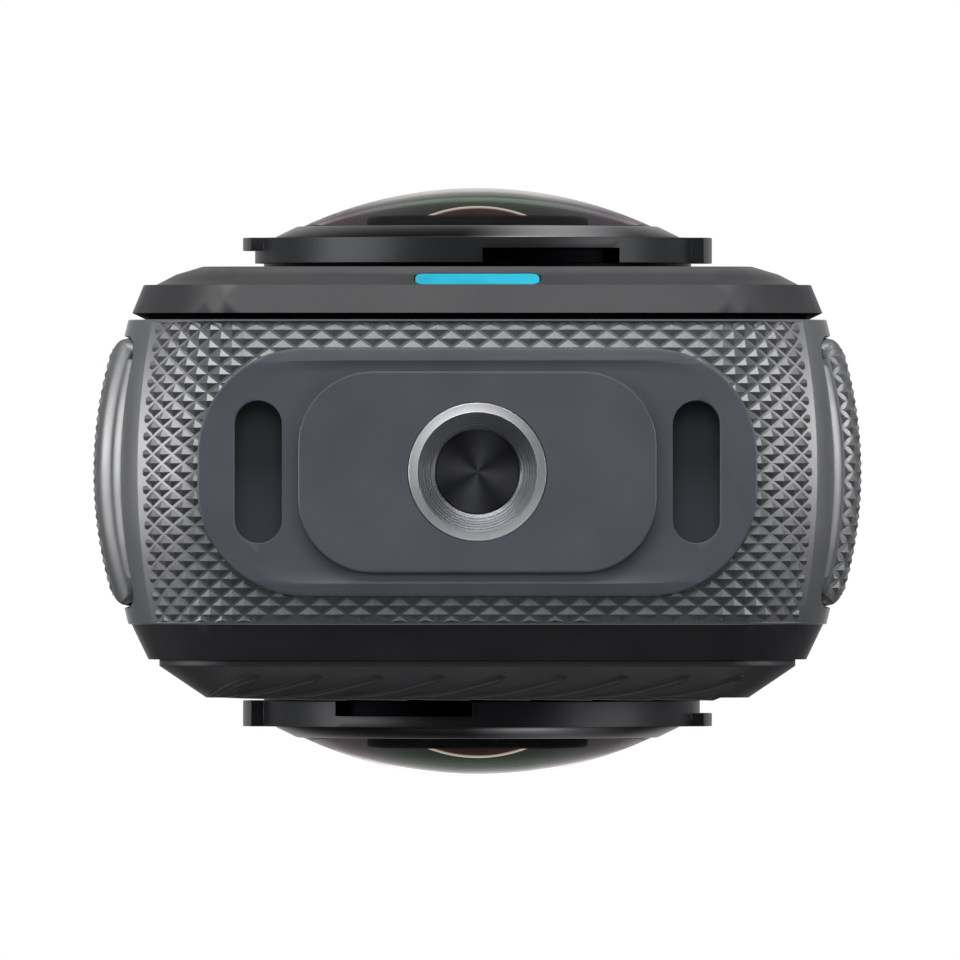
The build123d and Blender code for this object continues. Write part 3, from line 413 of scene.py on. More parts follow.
finished("grip_band_base", band_mesh(), RUBBER, "camera", ("grip_band",), 30)
reach = BAND_HALF_DEPTH - RIM_WIDTH
foot_studs = carved(on_band(stud_sheet(-BASE_FIELD, BASE_FIELD, reach)), [pad_tool()])
finished("foot_studs", foot_studs, RUBBER, "camera", ("grip_band",), 5)
head_studs = on_band(stud_sheet(RIGHT_FIELD, 2 * HALF_GIRTH + LEFT_FIELD, reach))
finished("head_studs", head_studs, RUBBER, "camera", ("grip_band",), 5)


# Foot pad
# A smooth hard plastic foot fills the band's opening, with a raised plate in its middle.
# Two deep slots beside the plate take the claws of a quick-release foot.

HARD_PLASTIC = moulded("foot plastic", colour(59, 63, 69), colour(66, 70, 76), 0.42, 14.0, 0.002,
                       {"Specular IOR Level": 0.4})


def node_mesh(node):
    """Welded copy of a CAD node's mesh."""
    bm = bmesh.new()
    bm.from_mesh(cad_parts[node].data)
    weld(bm)
    return bm


def dressed(node, material, body, radius, segments=2, edge_angle=35, shape=None, flat=0.6):
    """A CAD node's own shape, or one made from it, with its edges rounded."""
    bm = shape or node_mesh(node)
    bmesh.ops.dissolve_limit(bm, angle_limit=math.radians(flat), verts=bm.verts[:],
                             edges=bm.edges[:])
    sharp = [edge for edge in bm.edges
             if len(edge.link_faces) == 2 and edge.calc_face_angle() > math.radians(edge_angle)]
    if radius:
        bmesh.ops.bevel(bm, geom=sharp, offset=radius * MM, offset_type="OFFSET", segments=segments,
                        profile=0.5, affect="EDGES", material=-1, clamp_overlap=True)
    piece = finished(node + "_finish", bm, material, body, (node,), edge_angle)
    even = piece.modifiers.new("even shading", "WEIGHTED_NORMAL")
    even.mode = "FACE_AREA"
    even.weight = 80
    even.keep_sharp = True
    return piece


CAD_FACE = 0.58
CAD_FACE_RANGE = (0.5, 0.8)
DISH_FACE = 0.4
DISH_HALF_LENGTH = 16.0
DISH_HALF_DEPTH = 6.72
DISH_CORNER = 5.7
DISH_END = 14.5
DISH_FADE = 7.5
DISH_DEPTH = 0.18
DISH_RINGS = 8
DISH_RING = 0.106
PAD_ROUND = 0.13
PAD_RIM_ANGLE = 35
HOLE_CLEARANCE = 5.0
PLATE_HALF_LENGTH = 10.67
PLATE_HALF_DEPTH = 6.0
PLATE_CORNER = 4.39


def dish_tool():
    """Closed block of the shallow dish in the pad, deepest in the middle, with soft walls."""
    bm = bmesh.new()
    made = bmesh.ops.create_grid(bm, x_segments=1, y_segments=1, size=1.0)
    for vert in made["verts"]:
        vert.co = Vector((vert.co.x * DISH_HALF_LENGTH, vert.co.y * DISH_HALF_DEPTH, 0)) * MM
    bmesh.ops.bevel(bm, geom=made["verts"], offset=DISH_CORNER * MM, offset_type="OFFSET",
                    affect="VERTICES", segments=16, profile=0.5, material=-1)
    for vert in bm.verts:
        vert.co.z = -DISH_RINGS * DISH_RING * MM
    middle = bm.faces[:]
    for ring in range(DISH_RINGS, 0, -1):
        bmesh.ops.inset_region(bm, faces=middle, thickness=DISH_RING * MM, use_even_offset=True,
                               depth=0.0, use_boundary=True)
        for vert in middle[0].verts:
            vert.co.z = -(ring - 1) * DISH_RING * MM
    for place in range(-15, 16):
        bmesh.ops.bisect_plane(bm, geom=bm.verts[:] + bm.edges[:] + bm.faces[:], dist=1e-7,
                               plane_co=(place * MM, 0, 0), plane_no=(1, 0, 0))
    for vert in bm.verts:
        away = -vert.co.z / (DISH_RINGS * DISH_RING * MM)
        fade = min(max((DISH_END - abs(vert.co.x) / MM) / DISH_FADE, 0.0), 1.0)
        depth = DISH_DEPTH * fade * fade * (3 - 2 * fade) * (1 - away * away)
        vert.co.z = (DISH_FACE + depth) * MM
    drawn = bmesh.ops.extrude_face_region(bm, geom=bm.faces[:], use_keep_orig=True)
    for item in drawn["geom"]:
        if isinstance(item, bmesh.types.BMVert):
            item.co.z = -1 * MM
    bmesh.ops.recalc_face_normals(bm, faces=bm.faces[:])
    return bm


def plate_tool():
    """Upright prism of the raised plate, a hair inside its walls so that the cut trims them."""
    return rounded_prism(PLATE_HALF_LENGTH, PLATE_HALF_DEPTH, PLATE_CORNER, -2, 5)


# The exposed face sinks to the dish's level, and its rims are rounded before the dish is cut.
pad = node_mesh("base_pad")
for vert in pad.verts:
    if CAD_FACE_RANGE[0] < vert.co.z / MM < CAD_FACE_RANGE[1]:
        vert.co.z -= (CAD_FACE - DISH_FACE) * MM
bmesh.ops.dissolve_limit(pad, angle_limit=math.radians(0.1), verts=pad.verts[:],
                         edges=pad.edges[:])
rims = [edge for edge in pad.edges
        if len(edge.link_faces) == 2 and edge.calc_face_angle() > math.radians(PAD_RIM_ANGLE)
        and all(vert.co.z < 1 * MM and vert.co.xy.length > HOLE_CLEARANCE * MM
                for vert in edge.verts)]
bmesh.ops.bevel(pad, geom=rims, offset=PAD_ROUND * MM, offset_type="OFFSET", segments=3,
                profile=0.5, affect="EDGES", material=-1, clamp_overlap=False)
pad = carved(pad, [carved(dish_tool(), [plate_tool()])])
dressed("base_pad", HARD_PLASTIC, "camera", 0, edge_angle=12, shape=pad,
        flat=0.01)


# Tripod bushing and magnets
# A turned metal bushing is pressed into the foot, with a blind threaded bore.
# Its flat rim is faced on a lathe, and two magnets sit beside it behind the plate.

BUSHING_RIM = 4.18
BUSHING_RIM_HEIGHT = 0.7
BUSHING_BODY = 3.85
BUSHING_HEIGHT = 7.6
SINK_RADIUS = 3.56
SINK_DEPTH = 0.96
SINK_STEPS = 6
SINK_TREAD = 0.155
THREAD_ROOT = 3.1
THREAD_CREST = 2.55
THREAD_PITCH = 1.27
BORE_DEPTH = 6.2


def turned(points, steps=96):
    """Closed solid from a loop of radius and height points, spun about Z."""
    bm = bmesh.new()
    made = [bm.verts.new((radius * MM, 0, height * MM)) for radius, height in points]
    edges = [bm.edges.new(pair) for pair in zip(made, made[1:] + made[:1])]
    bmesh.ops.spin(bm, geom=made + edges, cent=(0, 0, 0), axis=(0, 0, 1), dvec=(0, 0, 0),
                   angle=math.tau, steps=steps, use_merge=True, use_duplicate=False)
    weld(bm, 0.001)
    bmesh.ops.dissolve_degenerate(bm, dist=1e-7, edges=bm.edges[:])
    bmesh.ops.recalc_face_normals(bm, faces=bm.faces[:])
    return bm


# Turn of the side that the metals' painted side light brightens.
SIDE_LIGHT_TURN = 0.8


def along_axis(finish, axis):
    """Place on one of the object's own axes."""
    return finish.node("SeparateXYZ", {}, {"Vector": finish.place}, axis)


def angle_round(finish, across, along):
    """Angle round an axis, from two distances across it."""
    return finish.node("Math", {"operation": "ARCTAN2"}, {0: along, 1: across})


def distance_out(finish, across, along):
    """Distance from an axis, from two distances across it."""
    return finish.node("Math", {"operation": "SQRT"}, {0: across * across + along * along})


def lathe_metal(name, dark, light, roughness, sheen_sectors, turn=0.0, side_light_share=0.0):
    """Turned metal with fine rings, and a painted sheen: light and dark sectors round an upright
    axis, one side painted lighter.
    """
    finish = Finish(name, {"Metallic": 1.0})
    across, along = along_axis(finish, "X"), along_axis(finish, "Y")
    angle = angle_round(finish, across, along)
    lathe_place = {"W": distance_out(finish, across, along) * (9.0 / MM), "Detail": 1.0}
    rings = finish.node("TexNoise", {"noise_dimensions": "1D"}, lathe_place, "Fac")
    # Painted sheen: sectors of highlight round the axis, and one side painted lighter as if lit.
    sheen_place = angle * sheen_sectors + turn + finish.noise(0.3) * 1.5
    painted_sheen = finish.node("Math", {"operation": "SINE"}, {0: sheen_place})
    painted_side_light = finish.node("Math", {"operation": "SINE"}, {0: angle + math.pi + SIDE_LIGHT_TURN})
    tone = finish.spread(painted_sheen * 0.25 + painted_side_light * side_light_share + rings * 0.4, -0.25, 0.65)
    finish.feed("Base Color", finish.blend(tone, dark, light))
    finish.feed("Roughness", finish.spread(rings, 0.2, 0.8, roughness - 0.06, roughness + 0.08))
    finish.bumped(rings, 0.006)
    return finish.material


def sink_profile():
    """Stepped lead-in cone of the thread, from the rim down to the bore."""
    points = []
    for step in range(SINK_STEPS):
        radius = SINK_RADIUS - SINK_TREAD * step
        depth = 0.03 + SINK_DEPTH * step / SINK_STEPS
        points += [(radius, depth), (radius - 0.025, depth + 0.12),
                   (radius - SINK_TREAD + 0.015, depth + 0.16)]
    return points


# The light colours here are painted highlights: the rim is brightest on one side, the bore floor in
# sectors.
THREAD_METAL = lathe_metal("thread metal", colour(142, 144, 149), colour(250, 251, 254), 0.36,
                           2.0, -math.pi / 2, 0.18)
SINK_METAL = lathe_metal("thread cone metal", colour(70, 72, 76), colour(140, 142, 146), 0.36,
                         2.0, -math.pi / 2)
BORE_METAL = lathe_metal("bore floor", colour(36, 37, 39), colour(130, 132, 136), 0.42, 4.0)

bushing_profile = [(0, BORE_DEPTH), (THREAD_ROOT, BORE_DEPTH),
                   (THREAD_ROOT, 0.08 + SINK_DEPTH + 0.12)]
bushing_profile += sink_profile()[::-1]
bushing_profile += [(SINK_RADIUS + 0.02, 0.0), (SINK_RADIUS + 0.08, 0.012),
                    (BUSHING_RIM - 0.1, 0.012), (BUSHING_RIM, 0.1),
                    (BUSHING_RIM, BUSHING_RIM_HEIGHT), (BUSHING_BODY, BUSHING_RIM_HEIGHT),
                    (BUSHING_BODY, BUSHING_HEIGHT - 0.3), (BUSHING_BODY - 0.3, BUSHING_HEIGHT),
                    (0, BUSHING_HEIGHT)]
bushing = finished("tripod_bushing_body", turned(bushing_profile, 128), THREAD_METAL, "camera",
                   ("tripod_bushing",), 25)
bushing.data.materials.append(SINK_METAL)
for face in bushing.data.polygons:
    if face.center.xy.length < SINK_RADIUS * MM:
        face.material_index = 1


def thread_ridge():
    """Helical thread ridge, closed at both ends, standing in the bore."""
    bm = bmesh.new()
    low = SINK_DEPTH + 0.5
    turns = (BORE_DEPTH - low - THREAD_PITCH) / THREAD_PITCH
    steps = int(turns * 40)
    section = [(THREAD_ROOT + 0.04, low), (THREAD_CREST, low + 0.42), (THREAD_CREST, low + 0.56),
               (THREAD_ROOT + 0.04, low + 0.98)]
    made = [bm.verts.new((radius * MM, 0, height * MM)) for radius, height in section]
    start = bm.faces.new(made)
    bmesh.ops.spin(bm, geom=[start], cent=(0, 0, 0), axis=(0, 0, 1),
                   dvec=(0, 0, THREAD_PITCH * turns / steps * MM), angle=math.tau * turns,
                   steps=steps, use_merge=False, use_duplicate=False)
    weld(bm, 0.0005)
    bmesh.ops.recalc_face_normals(bm, faces=bm.faces[:])
    return bm


finished("tripod_thread", thread_ridge(), SINK_METAL, "camera",
         ("tripod_bushing",), 30)
bore_floor = turned([(0, BORE_DEPTH - 0.02), (2.44, BORE_DEPTH - 0.02), (2.5, BORE_DEPTH - 0.06),
                     (THREAD_ROOT + 0.02, BORE_DEPTH - 0.06),
                     (THREAD_ROOT + 0.02, BORE_DEPTH + 0.1), (0, BORE_DEPTH + 0.1)])
finished("tripod_bore_floor", bore_floor, BORE_METAL, "camera",
         ("tripod_bushing",), 30)


def painted(node, material):
    """Give a CAD node that keeps its own shape a finish."""
    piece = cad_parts[node]
    if not piece.material_slots:
        piece.data.materials.append(None)
    for place in piece.material_slots:
        place.material = material


# Its light colour is a painted sheen on one side.
MAGNET = lathe_metal("magnet plating", colour(120, 122, 124), colour(160, 162, 165), 0.25, 1.0)
painted("mount_magnets", MAGNET)


# Mid frame
# A die-cast aluminium frame carries the band, the covers, the boards and both lenses.
# It is blasted, so its surface is even and slightly rough. The foot block is screwed into it.

ALLOY = moulded("cast alloy", colour(58, 60, 63), colour(74, 76, 80), 0.5, 10.0, 0.006,
                {"Metallic": 0.7})
painted("mid_frame", ALLOY)
painted("foot_block", ALLOY)


# Battery, its cover and its latch
# The battery slides in from the left side and carries a crowned rubber-faced cover.
# The cover has the band's pyramids inside a smooth rim, and a slide latch near its top.

COVER_CROWN = 22.96
COVER_SAG = 1.31
COVER_HALF_DEPTH = 8.0
COVER_RADIUS = (COVER_HALF_DEPTH ** 2 + COVER_SAG ** 2) / (2 * COVER_SAG)
COVER_FACE_DROP = 0.14
COVER_LOW = 5.0
COVER_FOOT_ROUND = 1.55
COVER_SIDE_ROUND = 0.7
COVER_STUD_LENGTH = 1.55
COVER_STUD_GROOVE = 0.06
COVER_STUD_RISE = 0.14
COVER_STUD_REACH = 7.45
SHAVE_REACH = 25


def quarter_round(distance, radius):
    """How far a rounded edge falls away at a distance from the edge."""
    inside = radius - min(max(distance, 0.0), radius)
    return radius - math.sqrt(radius ** 2 - inside ** 2)


def cover_reach(height, depth):
    """X size of a side cover's face, rounded towards its foot and its sides."""
    fall = COVER_RADIUS - math.sqrt(COVER_RADIUS ** 2 - depth ** 2)
    foot = quarter_round(height - COVER_LOW, COVER_FOOT_ROUND)
    edge = quarter_round(COVER_HALF_DEPTH - abs(depth), COVER_SIDE_ROUND)
    return COVER_CROWN - COVER_FACE_DROP - fall - max(foot, edge)


def cover_point(side, height, depth, lift):
    """Point over a side cover's face, lifted square to it."""
    step = 0.02
    rise = (cover_reach(height + step, depth) - cover_reach(height - step, depth)) / (2 * step)
    tilt = (cover_reach(height, depth + step) - cover_reach(height, depth - step)) / (2 * step)
    out = Vector((1, -tilt, -rise)).normalized() * lift
    spot = Vector((cover_reach(height, depth), depth, height)) + out
    return Vector((side * spot.x, spot.y, spot.z)) * MM


def shave_tool(side, high):
    """Closed block outside a side cover's face, to trim the cover to it."""
    heights = grid_values([(COVER_LOW - 1, 2), (COVER_LOW, 16),
                           (COVER_LOW + COVER_FOOT_ROUND, 20), (high + 1, 1)])
    depths = grid_values([(-9, 2), (-8, 8), (-7.3, 26), (7.3, 8), (8, 2), (9, 1)])
    bm = swept_grid(heights, len(depths))
    for vert in bm.verts:
        height, depth = heights[int(vert.co.x)], depths[int(vert.co.y)]
        vert.co = Vector((side * cover_reach(height, depth), depth, height)) * MM
    drawn = bmesh.ops.extrude_face_region(bm, geom=bm.faces[:], use_keep_orig=True)
    for item in drawn["geom"]:
        if isinstance(item, bmesh.types.BMVert):
            item.co.x = side * SHAVE_REACH * MM
    bmesh.ops.recalc_face_normals(bm, faces=bm.faces[:])
    return bm


def cover_height(run):
    """Height of a side cover's face at a run measured along it from its foot."""
    corner = COVER_FOOT_ROUND * math.pi / 2
    if run < corner:
        return COVER_LOW + COVER_FOOT_ROUND * (1 - math.cos(max(run, 0.0) / COVER_FOOT_ROUND))
    return COVER_LOW + COVER_FOOT_ROUND + run - corner


def side_cover(node, side, low, high, top, body):
    """A side cover trimmed to its rounded face, with pyramids from low to high along it."""
    cover = carved(node_mesh(node), [shave_tool(side, top)])
    finished(node + "_shell", cover, RUBBER, body, (node,), 30)
    middle = (low + high) / 2
    sheet = stud_sheet(low - middle, high - middle, COVER_STUD_REACH, COVER_STUD_LENGTH,
                       COVER_STUD_GROOVE, COVER_STUD_RISE)
    for vert in sheet.verts:
        height = cover_height(vert.co.x + middle)
        vert.co = cover_point(side, height, vert.co.y, vert.co.z - STUD_SINK)
    bmesh.ops.recalc_face_normals(sheet, faces=sheet.faces[:])
    finished(node + "_studs", sheet, RUBBER, body, (node,), 5)


side_cover("battery_cover", side=-1, low=2.1, high=45.8, top=58.4, body="battery")

THUMB_PLASTIC = moulded("button plastic", colour(52, 54, 58), colour(60, 62, 66), 0.38, 12.0, 0.002,
                        {"Specular IOR Level": 0.45})
dressed("battery_latch", THUMB_PLASTIC, "latch", 0.12)
BATTERY_CASE = moulded("battery case", colour(30, 31, 33), colour(40, 41, 43), 0.5, 8.0, 0.006, {})
painted("battery_pack", BATTERY_CASE)
# Black seal rubber, made darker and without gloss to paint the shade in the gaps where the seals
# sit.
SEAL_WITH_GAP_SHADE = moulded("seal rubber darkened for gap shade", colour(7, 7, 8), colour(13, 13, 14), 0.62, 9.0, 0.005,
               {"Specular IOR Level": 0.0})
painted("battery_seal", SEAL_WITH_GAP_SHADE)
# Its light colour is a painted sheen on one side.
GOLD = lathe_metal("contact gold", colour(186, 148, 74), colour(228, 190, 108), 0.25, 1.0)
painted("battery_terminals", GOLD)
painted("battery_contacts", GOLD)
BLACK_PLASTIC = moulded("black plastic", colour(18, 19, 20), colour(28, 29, 31), 0.5, 10.0, 0.004,
                        {"Specular IOR Level": 0.35})
painted("battery_bay", BLACK_PLASTIC)


# Front cover, screen and front buttons
# The front shell is a satin moulded cover with a slanted wall, a ledge and a domed slope.
# A glass touch screen, two buttons and a clear light bar are set flush into it.

COVER_PLASTIC = moulded("cover plastic", colour(21, 22, 24), colour(27, 28, 30), 0.45, 12.0, 0.003,
                        {"Specular IOR Level": 0.4})
dressed("front_cover", COVER_PLASTIC, "camera", 0.12)

light = Finish("light bar", {"Roughness": 0.5, "Emission Strength": 0.5, "Specular IOR Level": 0.1})
glow = light.spread(light.noise(0.5), 0.3, 0.7)
light.feed("Base Color", light.blend(glow, colour(6, 90, 112), colour(12, 106, 128)))
light.feed("Emission Color", light.blend(glow, colour(40, 196, 226), colour(56, 208, 238)))
dressed("light_bar", light.material, "camera", 0.1)

pane = Finish("screen glass", {"Roughness": 0.06, "Specular IOR Level": 0.5, "Coat Weight": 0.6})
smear = pane.noise(0.12, 4.0)
pane.feed("Base Color", pane.blend(pane.spread(smear, 0.3, 0.7), colour(7, 8, 10),
                                   colour(13, 14, 16)))
pane.feed("Roughness", pane.spread(smear, 0.3, 0.7, 0.04, 0.12))
dressed("screen_glass", pane.material, "camera", 0.15)
painted("display_panel", pane.material)
dressed("shutter_button", THUMB_PLASTIC, "shutter_button", 0.2)
dressed("mode_button", THUMB_PLASTIC, "mode_button", 0.2)

board = Finish("circuit board", {"Roughness": 0.4})
tracks = board.node("TexBrick", {"offset": 0.35}, {
    "Vector": board.place, "Scale": 320.0, "Mortar Size": 0.04, "Color1": colour(16, 60, 38),
    "Color2": colour(20, 70, 44), "Mortar": colour(60, 104, 66)}, "Color")
board.feed("Base Color", tracks)
board.feed("Roughness", board.spread(board.noise(2.0), 0.3, 0.7, 0.32, 0.5))
painted("front_switch_board", board.material)
painted("front_gasket", SEAL_WITH_GAP_SHADE)
painted("rear_gasket", SEAL_WITH_GAP_SHADE)


# Rear cover and grip panel
# The rear shell is a plain moulded cover, held by six screws that the panel hides.
# The panel bonded over it is rubber with curved raised leaves.

dressed("rear_cover", COVER_PLASTIC, "camera", 0.1)
PANEL_RUBBER = moulded("panel rubber", colour(30, 31, 33), colour(38, 39, 42), 0.5, 8.0, 0.005,
                       {"Specular IOR Level": 0.4})
dressed("rear_grip_panel", PANEL_RUBBER, "camera", 0.1, flat=0.01)

PANEL_EDGE = (3.0, 11.58)
PANEL_FOLD = (5.8, 13.47)
PANEL_SLOPE = math.dist(PANEL_EDGE, PANEL_FOLD)
LEAF_PITCH = 3.66
LEAF_REACH = 6.4
LEAF_CLIMB = 2.2
LEAF_START = 1.07
LEAF_ROW = 4.6
LEAF_RISE = 0.2
FIRST_TIP = -12.9
LEAF_ROWS = 15
LEAVES_A_ROW = 9
UPPER_TIPS = (-9.5, 15.5)
PANEL_CORNER = 4.6


def panel_point(across, run, lift):
    """Point of the rear panel: across it, and up its slope and face from its foot edge."""
    share = min(run / PANEL_SLOPE, 1.0)
    inset = PANEL_EDGE[0] + (PANEL_FOLD[0] - PANEL_EDGE[0]) * share
    depth = PANEL_EDGE[1] + (PANEL_FOLD[1] - PANEL_EDGE[1]) * share
    tilt = math.atan2(PANEL_FOLD[1] - PANEL_EDGE[1], PANEL_FOLD[0] - PANEL_EDGE[0])
    tilt *= min(max((PANEL_SLOPE + 0.3 - run) / 0.6, 0.0), 1.0)
    inset -= lift * math.sin(tilt)
    depth += lift * math.cos(tilt)
    height = max(run - PANEL_SLOPE, 0.0)
    beyond = abs(across) - FOOT_HALF
    if beyond <= 0 or height > 0:
        return Vector((across, depth, inset + height)) * MM
    turn = beyond / PANEL_CORNER
    x = FOOT_HALF + (FOOT_CORNER - inset) * math.sin(turn)
    z = FOOT_CORNER - (FOOT_CORNER - inset) * math.cos(turn)
    return Vector((math.copysign(x, across), depth, z)) * MM


def leaf(bm, tip, start):
    """Closed curved ridge that starts round and thins out to the left."""
    stations = 14
    section = [(-1, -0.04), (-0.72, 0.55), (0, 1.0), (0.72, 0.55), (1, -0.04)]
    made = bmesh.ops.create_grid(bm, x_segments=stations, y_segments=len(section), size=0.5)
    for vert in made["verts"]:
        share = round((vert.co.x + 0.5) * stations) / stations
        side, rise = section[round((vert.co.y + 0.5) * len(section)) % len(section)]
        width = 0.5 * math.sqrt(min(share / 0.09, 1.0)) * (1 - share) ** 0.7
        ridge = LEAF_RISE * math.sqrt(min(share / 0.06, 1.0)) * (1 - share) ** 0.5
        run = start + LEAF_CLIMB * math.sin(math.pi / 2 * share) + side * width
        vert.co = panel_point(tip - LEAF_REACH * share, run, rise * ridge if rise > 0 else rise)


leaves = bmesh.new()
for row in range(LEAF_ROWS):
    for place in range(LEAVES_A_ROW):
        tip = FIRST_TIP + LEAF_PITCH * (place + 0.5 * (row % 2))
        if row == 0 or UPPER_TIPS[0] < tip < UPPER_TIPS[1]:
            leaf(leaves, tip, LEAF_START + LEAF_ROW * row)
weld(leaves)
bmesh.ops.recalc_face_normals(leaves, faces=leaves.faces[:])
finished("rear_panel_leaves", leaves, PANEL_RUBBER, "camera",
         ("rear_grip_panel",), 50)
# Its light colour is a painted sheen on one side.
STEEL = lathe_metal("screw steel", colour(130, 132, 136), colour(180, 182, 186), 0.3, 1.0)
painted("cover_screws", STEEL)


# Boards and parts inside
# The main board stands on the web between the lenses, with cans over its chips.
# A copper plate spreads its heat, and flat cables join the display and both sensors.

CAN = moulded("tinned can", colour(138, 140, 143), colour(168, 170, 173), 0.34, 5.0, 0.002,
              {"Metallic": 1.0})
COPPER = moulded("copper plate", colour(164, 98, 66), colour(194, 124, 88), 0.34, 5.0, 0.003,
                 {"Metallic": 1.0})
FLEX = moulded("flat cable", colour(150, 92, 30), colour(184, 120, 46), 0.42, 6.0, 0.002, {})
for node, material in (("main_board", board.material), ("shield_cans", CAN),
                       ("heat_spreader", COPPER), ("flex_cables", FLEX),
                       ("speaker", BLACK_PLASTIC), ("microphones", CAN), ("mic_meshes", CAN),
                       ("side_switches", BLACK_PLASTIC)):
    painted(node, material)


# USB door, connector and memory card
# A crowned door like the battery's hinges up on a steel pin and seals the port with rubber.
# Behind it a steel connector and the card socket share one upright board.

side_cover("usb_door", side=1, low=0.62, high=39.3, top=45.8, body="usb_door")
painted("usb_door_seal", SEAL_WITH_GAP_SHADE)
painted("door_hinge_pin", STEEL)
painted("usb_connector", CAN)
CARD = moulded("card plastic", colour(14, 14, 15), colour(22, 22, 24), 0.36, 10.0, 0.001, {})
painted("memory_card", CARD)
painted("card_socket", CAN)
painted("side_board", board.material)


# Button panel and side buttons
# A smooth crowned plastic panel stands proud of the band and holds two pill buttons.
# Each button has a crowned cap and a flange that keeps it in.

dressed("button_panel", RUBBER, "camera", 0)
dressed("power_button", THUMB_PLASTIC, "power_button", 0.15)
dressed("quick_button", THUMB_PLASTIC, "quick_button", 0.15)


# Lens modules
# Two alike modules stand back to back: a coated metal ring with bayonet lugs, a black
# bezel, a domed coated glass, and under it a stepped black baffle round a small lens.

LENS_HEIGHT = 101.0
MID_PLANE = 0.6
DOME_CHORD = 10.9
DOME_SAG = 2.4
BEZEL_TOP = 15.9
DOME_SEAT = 14.6
DOME_WALL = 0.7
# Turn of the bezel's painted highlight round the lens.
BEZEL_HIGHLIGHT_TURN = math.radians(220)
BEZEL_PROFILE = ((11.15, 15.19), (12.55, 15.19), (12.5, 15.28), (11.3, 15.86), (11.15, 15.9),
                 (10.98, 15.88), (10.93, 15.8), (10.93, 15.19))
BAFFLE_PROFILE = ((3.5, 14.6), (8.4, 14.6), (8.4, 15.42), (8.3, 15.5), (7.0, 15.5),
                  (6.9, 15.56), (6.85, 16.45), (6.75, 16.55), (5.2, 16.55), (4.9, 16.35),
                  (3.6, 16.3), (3.5, 16.2))
EYE_RADIUS = 3.5
EYE_EDGE = 16.5
EYE_SAG = 0.75
EYE_SEAT = 15.2
# Radius range over which the ring's painted recess shade fades in.
RING_WALL = (13.34, 13.44)


def on_lens(bm, side):
    """Stand a piece turned about Z on a lens axis that points out of its face."""
    turn = Matrix.Rotation(math.radians(90), 4, "X")
    if side == "rear":
        turn = Matrix.Rotation(math.radians(180), 4, "Z") @ turn
    place = Matrix.Translation((0, MID_PLANE * MM, LENS_HEIGHT * MM))
    bmesh.ops.transform(bm, matrix=place @ turn, verts=bm.verts[:])
    return bm


def arc_points(chord, foot, sag, steps):
    """Points of a dome's arc, from its apex to its edge."""
    radius = (chord ** 2 + sag ** 2) / (2 * sag)
    widest = math.asin(chord / radius)
    turns = [widest * step / steps for step in range(steps + 1)]
    return [(radius * math.sin(turn), foot + sag - radius * (1 - math.cos(turn))) for turn in turns]


def lens_sides(finish):
    """Distances from the lens axis, across and up."""
    return along_axis(finish, "X"), along_axis(finish, "Z") - LENS_HEIGHT * MM


ring_coat_and_shade = Finish("ring coat with painted recess shade", {"Specular IOR Level": 0.3})
speck = ring_coat_and_shade.noise(14.0)
coated = ring_coat_and_shade.blend(speck * 0.6 + ring_coat_and_shade.noise(0.2) * 0.4, colour(14, 16, 18),
                         colour(27, 29, 32))
# Painted shade: inside the ring's wall radius the colour is near-black metal that mirrors nothing,
# standing in for the shade in the notch and the recesses inside the ring.
outside_painted_shade = ring_coat_and_shade.spread(distance_out(ring_coat_and_shade, *lens_sides(ring_coat_and_shade)),
                           RING_WALL[0] * MM, RING_WALL[1] * MM)
ring_coat_and_shade.feed("Base Color", ring_coat_and_shade.blend(outside_painted_shade, colour(3, 3, 4), coated))
ring_coat_and_shade.feed("Metallic", 1 - outside_painted_shade * 0.7)
ring_coat_and_shade.feed("Roughness", ring_coat_and_shade.spread(speck, 0.2, 0.8, 0.34, 0.46))
ring_coat_and_shade.bumped(speck, 0.002)
RING = ring_coat_and_shade.material

bezel_coat_and_highlight = Finish("bezel coat with painted highlight", {"Metallic": 0.9, "Specular IOR Level": 0.3})
angle = angle_round(bezel_coat_and_highlight, *lens_sides(bezel_coat_and_highlight))
# Painted highlight: the base colour turns near white in two arcs round the lens, where the bezel
# would mirror a lamp.
shine = bezel_coat_and_highlight.node("Math", {"operation": "SINE"}, {0: angle * 2.0 + BEZEL_HIGHLIGHT_TURN})
speck = bezel_coat_and_highlight.noise(14.0)
shine = bezel_coat_and_highlight.spread(shine + speck * 0.04, 0.5, 1.04)
bezel_coat_and_highlight.feed("Base Color", bezel_coat_and_highlight.blend(shine * shine, colour(16, 16, 17),
                                               colour(150, 151, 153)))
bezel_coat_and_highlight.feed("Roughness", bezel_coat_and_highlight.spread(speck, 0.2, 0.8, 0.28, 0.38))
bezel_coat_and_highlight.bumped(speck, 0.001)
BEZEL = bezel_coat_and_highlight.material
BAFFLE = moulded("baffle black", colour(4, 4, 5), colour(9, 9, 10), 0.4, 10.0, 0.002,
                 {"Specular IOR Level": 0.3})

glass = Finish("dome glass with painted reflections", {"Transmission Weight": 1.0, "Roughness": 0.0, "IOR": 1.01,
                              "Specular IOR Level": 0.0, "Coat Weight": 0.1,
                              "Coat Roughness": 0.02})
